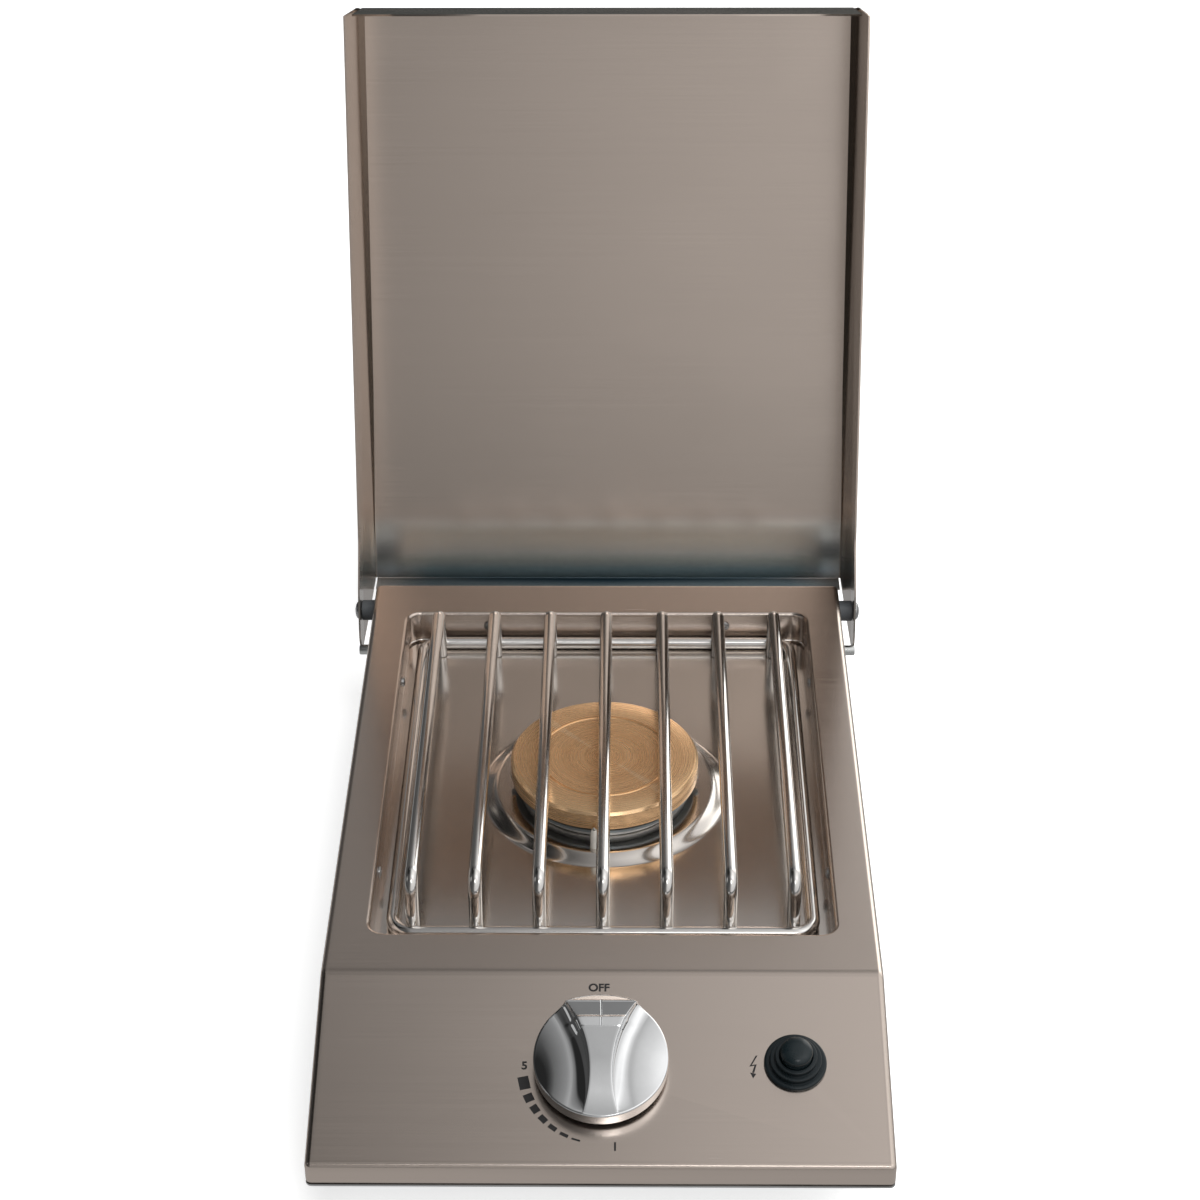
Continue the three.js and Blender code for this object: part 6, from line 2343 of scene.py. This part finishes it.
@dataclass
class Studio:
    """Floor, light and camera."""

    floor_size: float = 30.0
    floor_tone: float = 0.84
    floor_glow: float = 0.6
    mirrored_far: tuple[float, float] = (0.7, 1.9)
    focal_pixels: float = 2608.0
    frame_pixels: float = 1200.0
    sensor: float = 36.0
    clip: tuple[float, float] = (0.02, 60.0)
    eye: tuple[float, float, float] = (14.0, -1296.3, 1079.1)
    pitch: float = 0.5925
    yaw: float = -0.0126
    roll: float = -0.0054
    low_tone: Colour = (0.045, 0.052, 0.052)
    near_tone: Colour = (0.45, 0.45, 0.45)
    strip_tone: Colour = (2.2, 2.2, 2.15)
    wall: Greys = ((0.0, 0.06), (0.28, 0.10), (0.42, 0.26), (0.47, 0.46), (0.5, 0.58), (0.53, 0.66),
                   (0.58, 0.70), (0.7, 0.74), (1.0, 0.78))
    ceiling: Greys = ((0.0, 0.04), (0.36, 0.08), (0.46, 0.27), (0.5, 0.48), (0.54, 0.66), (0.6, 0.8),
                      (0.72, 1.2), (1.0, 1.3))
    behind: Greys = ((0.0, 0.05), (0.46, 0.17), (0.54, 0.28), (0.72, 0.9), (1.0, 1.1))
    wall_foot: tuple[float, float] = (0.03, 0.055)
    wall_head: tuple[float, float] = (0.35, 0.85)
    band: tuple[tuple[float, float], ...] = ((0.1, 0.3), (0.62, 0.76), (0.85, 0.90))
    strip: tuple[tuple[float, float], ...] = ((0.45, 0.6), (0.30, 0.36), (0.04, 0.10))
    front: tuple[tuple[float, float], ...] = ((-0.25, -0.02), (-0.38, -0.26), (0.5, 0.9))
    front_boost: float = 0.4
    windows: tuple[tuple[tuple[float, float, float], float, float, float], ...] = (
        ((0.12, -0.62, 0.78), 6.0, 2.0, 4.0),
        ((-0.52, 0.34, 0.78), 17.0, 5.0, 0.02),
        ((-0.30, 0.42, 0.85), 2.2, 0.4, 0.9),
        ((-0.80, -0.10, 0.42), 8.0, 1.0, 0.5),
    )

    def camera(self) -> None:
        """Places the camera as the photograph's stood."""
        lens = bpy.data.cameras.new("photo_camera")
        lens.sensor_fit = "HORIZONTAL"
        lens.sensor_width = self.sensor
        lens.lens = self.focal_pixels / self.frame_pixels * self.sensor
        lens.clip_start, lens.clip_end = self.clip
        eye = bpy.data.objects.new("photo_camera", lens)
        bpy.context.scene.collection.objects.link(eye)
        level = math.cos(self.pitch)
        forward = Vector((math.sin(self.yaw) * level, math.cos(self.yaw) * level, -math.sin(self.pitch)))
        right = forward.cross(Z_AXIS).normalized()
        up = right.cross(forward)
        turned_right = right * math.cos(self.roll) + up * math.sin(self.roll)
        turned_up = up * math.cos(self.roll) - right * math.sin(self.roll)
        turn = Matrix((turned_right, turned_up, -forward)).transposed().to_4x4()
        eye.matrix_world = Matrix.Translation(Vector(self.eye) * MM) @ turn
        bpy.context.scene.camera = eye

    def floor(self) -> None:
        """Lays the pale floor."""
        half = self.floor_size / 2
        mesh = bpy.data.meshes.new("floor")
        corners = [(half * a, half * b, 0.0) for a, b in CORNERS]
        mesh.from_pydata(corners, [], [(0, 1, 2, 3)])
        plane = bpy.data.objects.new("floor", mesh)
        bpy.context.scene.collection.objects.link(plane)
        made = bpy.data.materials.new("floor_paint")
        made.use_nodes = True
        self.floor_paint(NodeSheet(made.node_tree))
        mesh.materials.append(made)

    def floor_paint(self, sheet: NodeSheet) -> None:
        """Paints the floor, with a grey that only mirrors on the burner see.

        Args:
            sheet: the floor material's node sheet.
        """
        rays = sheet.node("ShaderNodeLightPath")
        matt = sheet.node("ShaderNodeBsdfDiffuse", sockets={"Color": (self.floor_tone,) * 3})
        glow = sheet.node("ShaderNodeEmission",
                          sockets={"Color": (1.0, 1.0, 1.0), "Strength": rays * self.floor_glow})
        seen = sheet.node("ShaderNodeAddShader", sockets={0: matt, 1: glow})
        spot = sheet.node("ShaderNodeNewGeometry", out="Position")
        far = sheet.node("ShaderNodeVectorMath", {"operation": "LENGTH"}, {0: spot}, out="Value")
        tone = sheet.mixed(sheet.rise(far, self.mirrored_far), self.near_tone, self.low_tone)
        mirrored = sheet.node("ShaderNodeEmission", sockets={"Color": tone, "Strength": 1.0})
        both = sheet.node("ShaderNodeMixShader",
                          sockets={0: rays.beside("Is Glossy Ray"), 1: seen, 2: mirrored})
        sheet.node("ShaderNodeOutputMaterial", sockets={"Surface": both})

    def room(self, sheet: NodeSheet, towards: Wire) -> Wire:
        """The room that gloss mirrors: walls darker on the left, a pale ceiling, bright and dark windows.

        Args:
            sheet: the world's node sheet.
            towards: the direction looked in.

        Returns:
            Its colour.
        """
        side = sheet.node("ShaderNodeSeparateXYZ", sockets={0: towards})
        back, up, across = side.beside("Y"), side.beside("Z"), side * 0.5 + 0.5
        wall, ceiling, behind = (sheet.greys(across, greys)
                                 for greys in (self.wall, self.ceiling, self.behind))
        sides = sheet.mixed(sheet.rise(up, self.wall_foot), self.low_tone, wall)
        room = sheet.mixed(sheet.rise(up, self.wall_head), sides, ceiling)
        start, foot, head = self.band
        band = sheet.rise(back, start) * sheet.rise(up, foot) * sheet.fall(up, head)
        room = sheet.mixed(band, room, behind)
        start, edge, foot = self.strip
        strip = sheet.rise(back, start) * sheet.rise(side, edge) * sheet.rise(up, foot)
        room = sheet.mixed(strip, room, self.strip_tone)
        for aim, wide, soft, tone in self.windows:
            facing = sheet.node("ShaderNodeVectorMath", {"operation": "DOT_PRODUCT"},
                                {0: towards, 1: tuple(Vector(aim).normalized())}, out="Value")
            outer, inner = (math.cos(math.radians(angle)) for angle in (wide + soft, wide))
            room = sheet.mixed(sheet.ranged(facing, 0.0, 1.0, outer, inner), room, (tone,) * 3)
        return room

    def surroundings(self) -> None:
        """Sets the world: the room for every ray but the camera's, which sees plain white."""
        world = bpy.data.worlds.new("studio")
        bpy.context.scene.world = world
        world.use_nodes = True
        sheet = NodeSheet(world.node_tree)
        towards = sheet.node("ShaderNodeTexCoord", out="Generated")
        side = sheet.node("ShaderNodeSeparateXYZ", sockets={0: towards})
        back, up = side.beside("Y"), side.beside("Z")
        room = self.room(sheet, towards)
        rays = sheet.node("ShaderNodeLightPath")
        background = sheet.mixed(rays, room, (1.0, 1.0, 1.0))
        near, far, height = self.front
        front = (sheet.ranged(back, self.front_boost, 0.0, *near) * sheet.rise(back, far)
                 * sheet.rise(up, height))
        strength = 1.0 + front * (1.0 - rays)
        shine = sheet.node("ShaderNodeBackground", sockets={"Color": background, "Strength": strength})
        sheet.node("ShaderNodeOutputWorld", sockets={"Surface": shine})

    def lamps(self) -> None:
        """Hangs the soft lamps, which no mirror shows."""
        for name, place, aim, width, length, power in (
            ("ceiling_softbox", (0.5, -0.5, 2.6), (0.0, 0.0, 0.1), 2.2, 1.8, 34.0),
            ("right_softbox", (2.3, -1.0, 1.5), (0.0, 0.0, 0.1), 1.2, 1.6, 14.0),
            ("front_fill", (0.9, -2.6, 1.9), (0.0, 0.0, 0.15), 1.2, 0.8, 8.0),
        ):
            light = bpy.data.lights.new(name, "AREA")
            light.shape = "RECTANGLE"
            light.size, light.size_y, light.energy = width, length, power
            lamp = bpy.data.objects.new(name, light)
            bpy.context.scene.collection.objects.link(lamp)
            lamp.visible_glossy = False
            lamp.location = place
            lamp.rotation_euler = (Vector(aim) - Vector(place)).to_track_quat("-Z", "Y").to_euler()

    def build(self) -> None:
        """Sets up the studio."""
        bpy.context.scene.view_settings.view_transform = "Standard"
        self.floor()
        self.surroundings()
        self.lamps()
        self.camera()


def main() -> None:
    """Builds every sub-assembly in order, then the studio."""
    logging.basicConfig(level=logging.INFO, format="%(name)s: %(message)s")
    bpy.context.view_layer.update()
    TopDeck().build()
    LowerCase().build()
    BurnerPan().build()
    PanScrews().build()
    Grate().build()
    Burner().build()
    ControlKnob().build()
    Igniter().build()
    PanelMarks().build()
    Lid().build()
    GasParts().build()
    Studio().build()


if __name__ == "__main__":
    main()
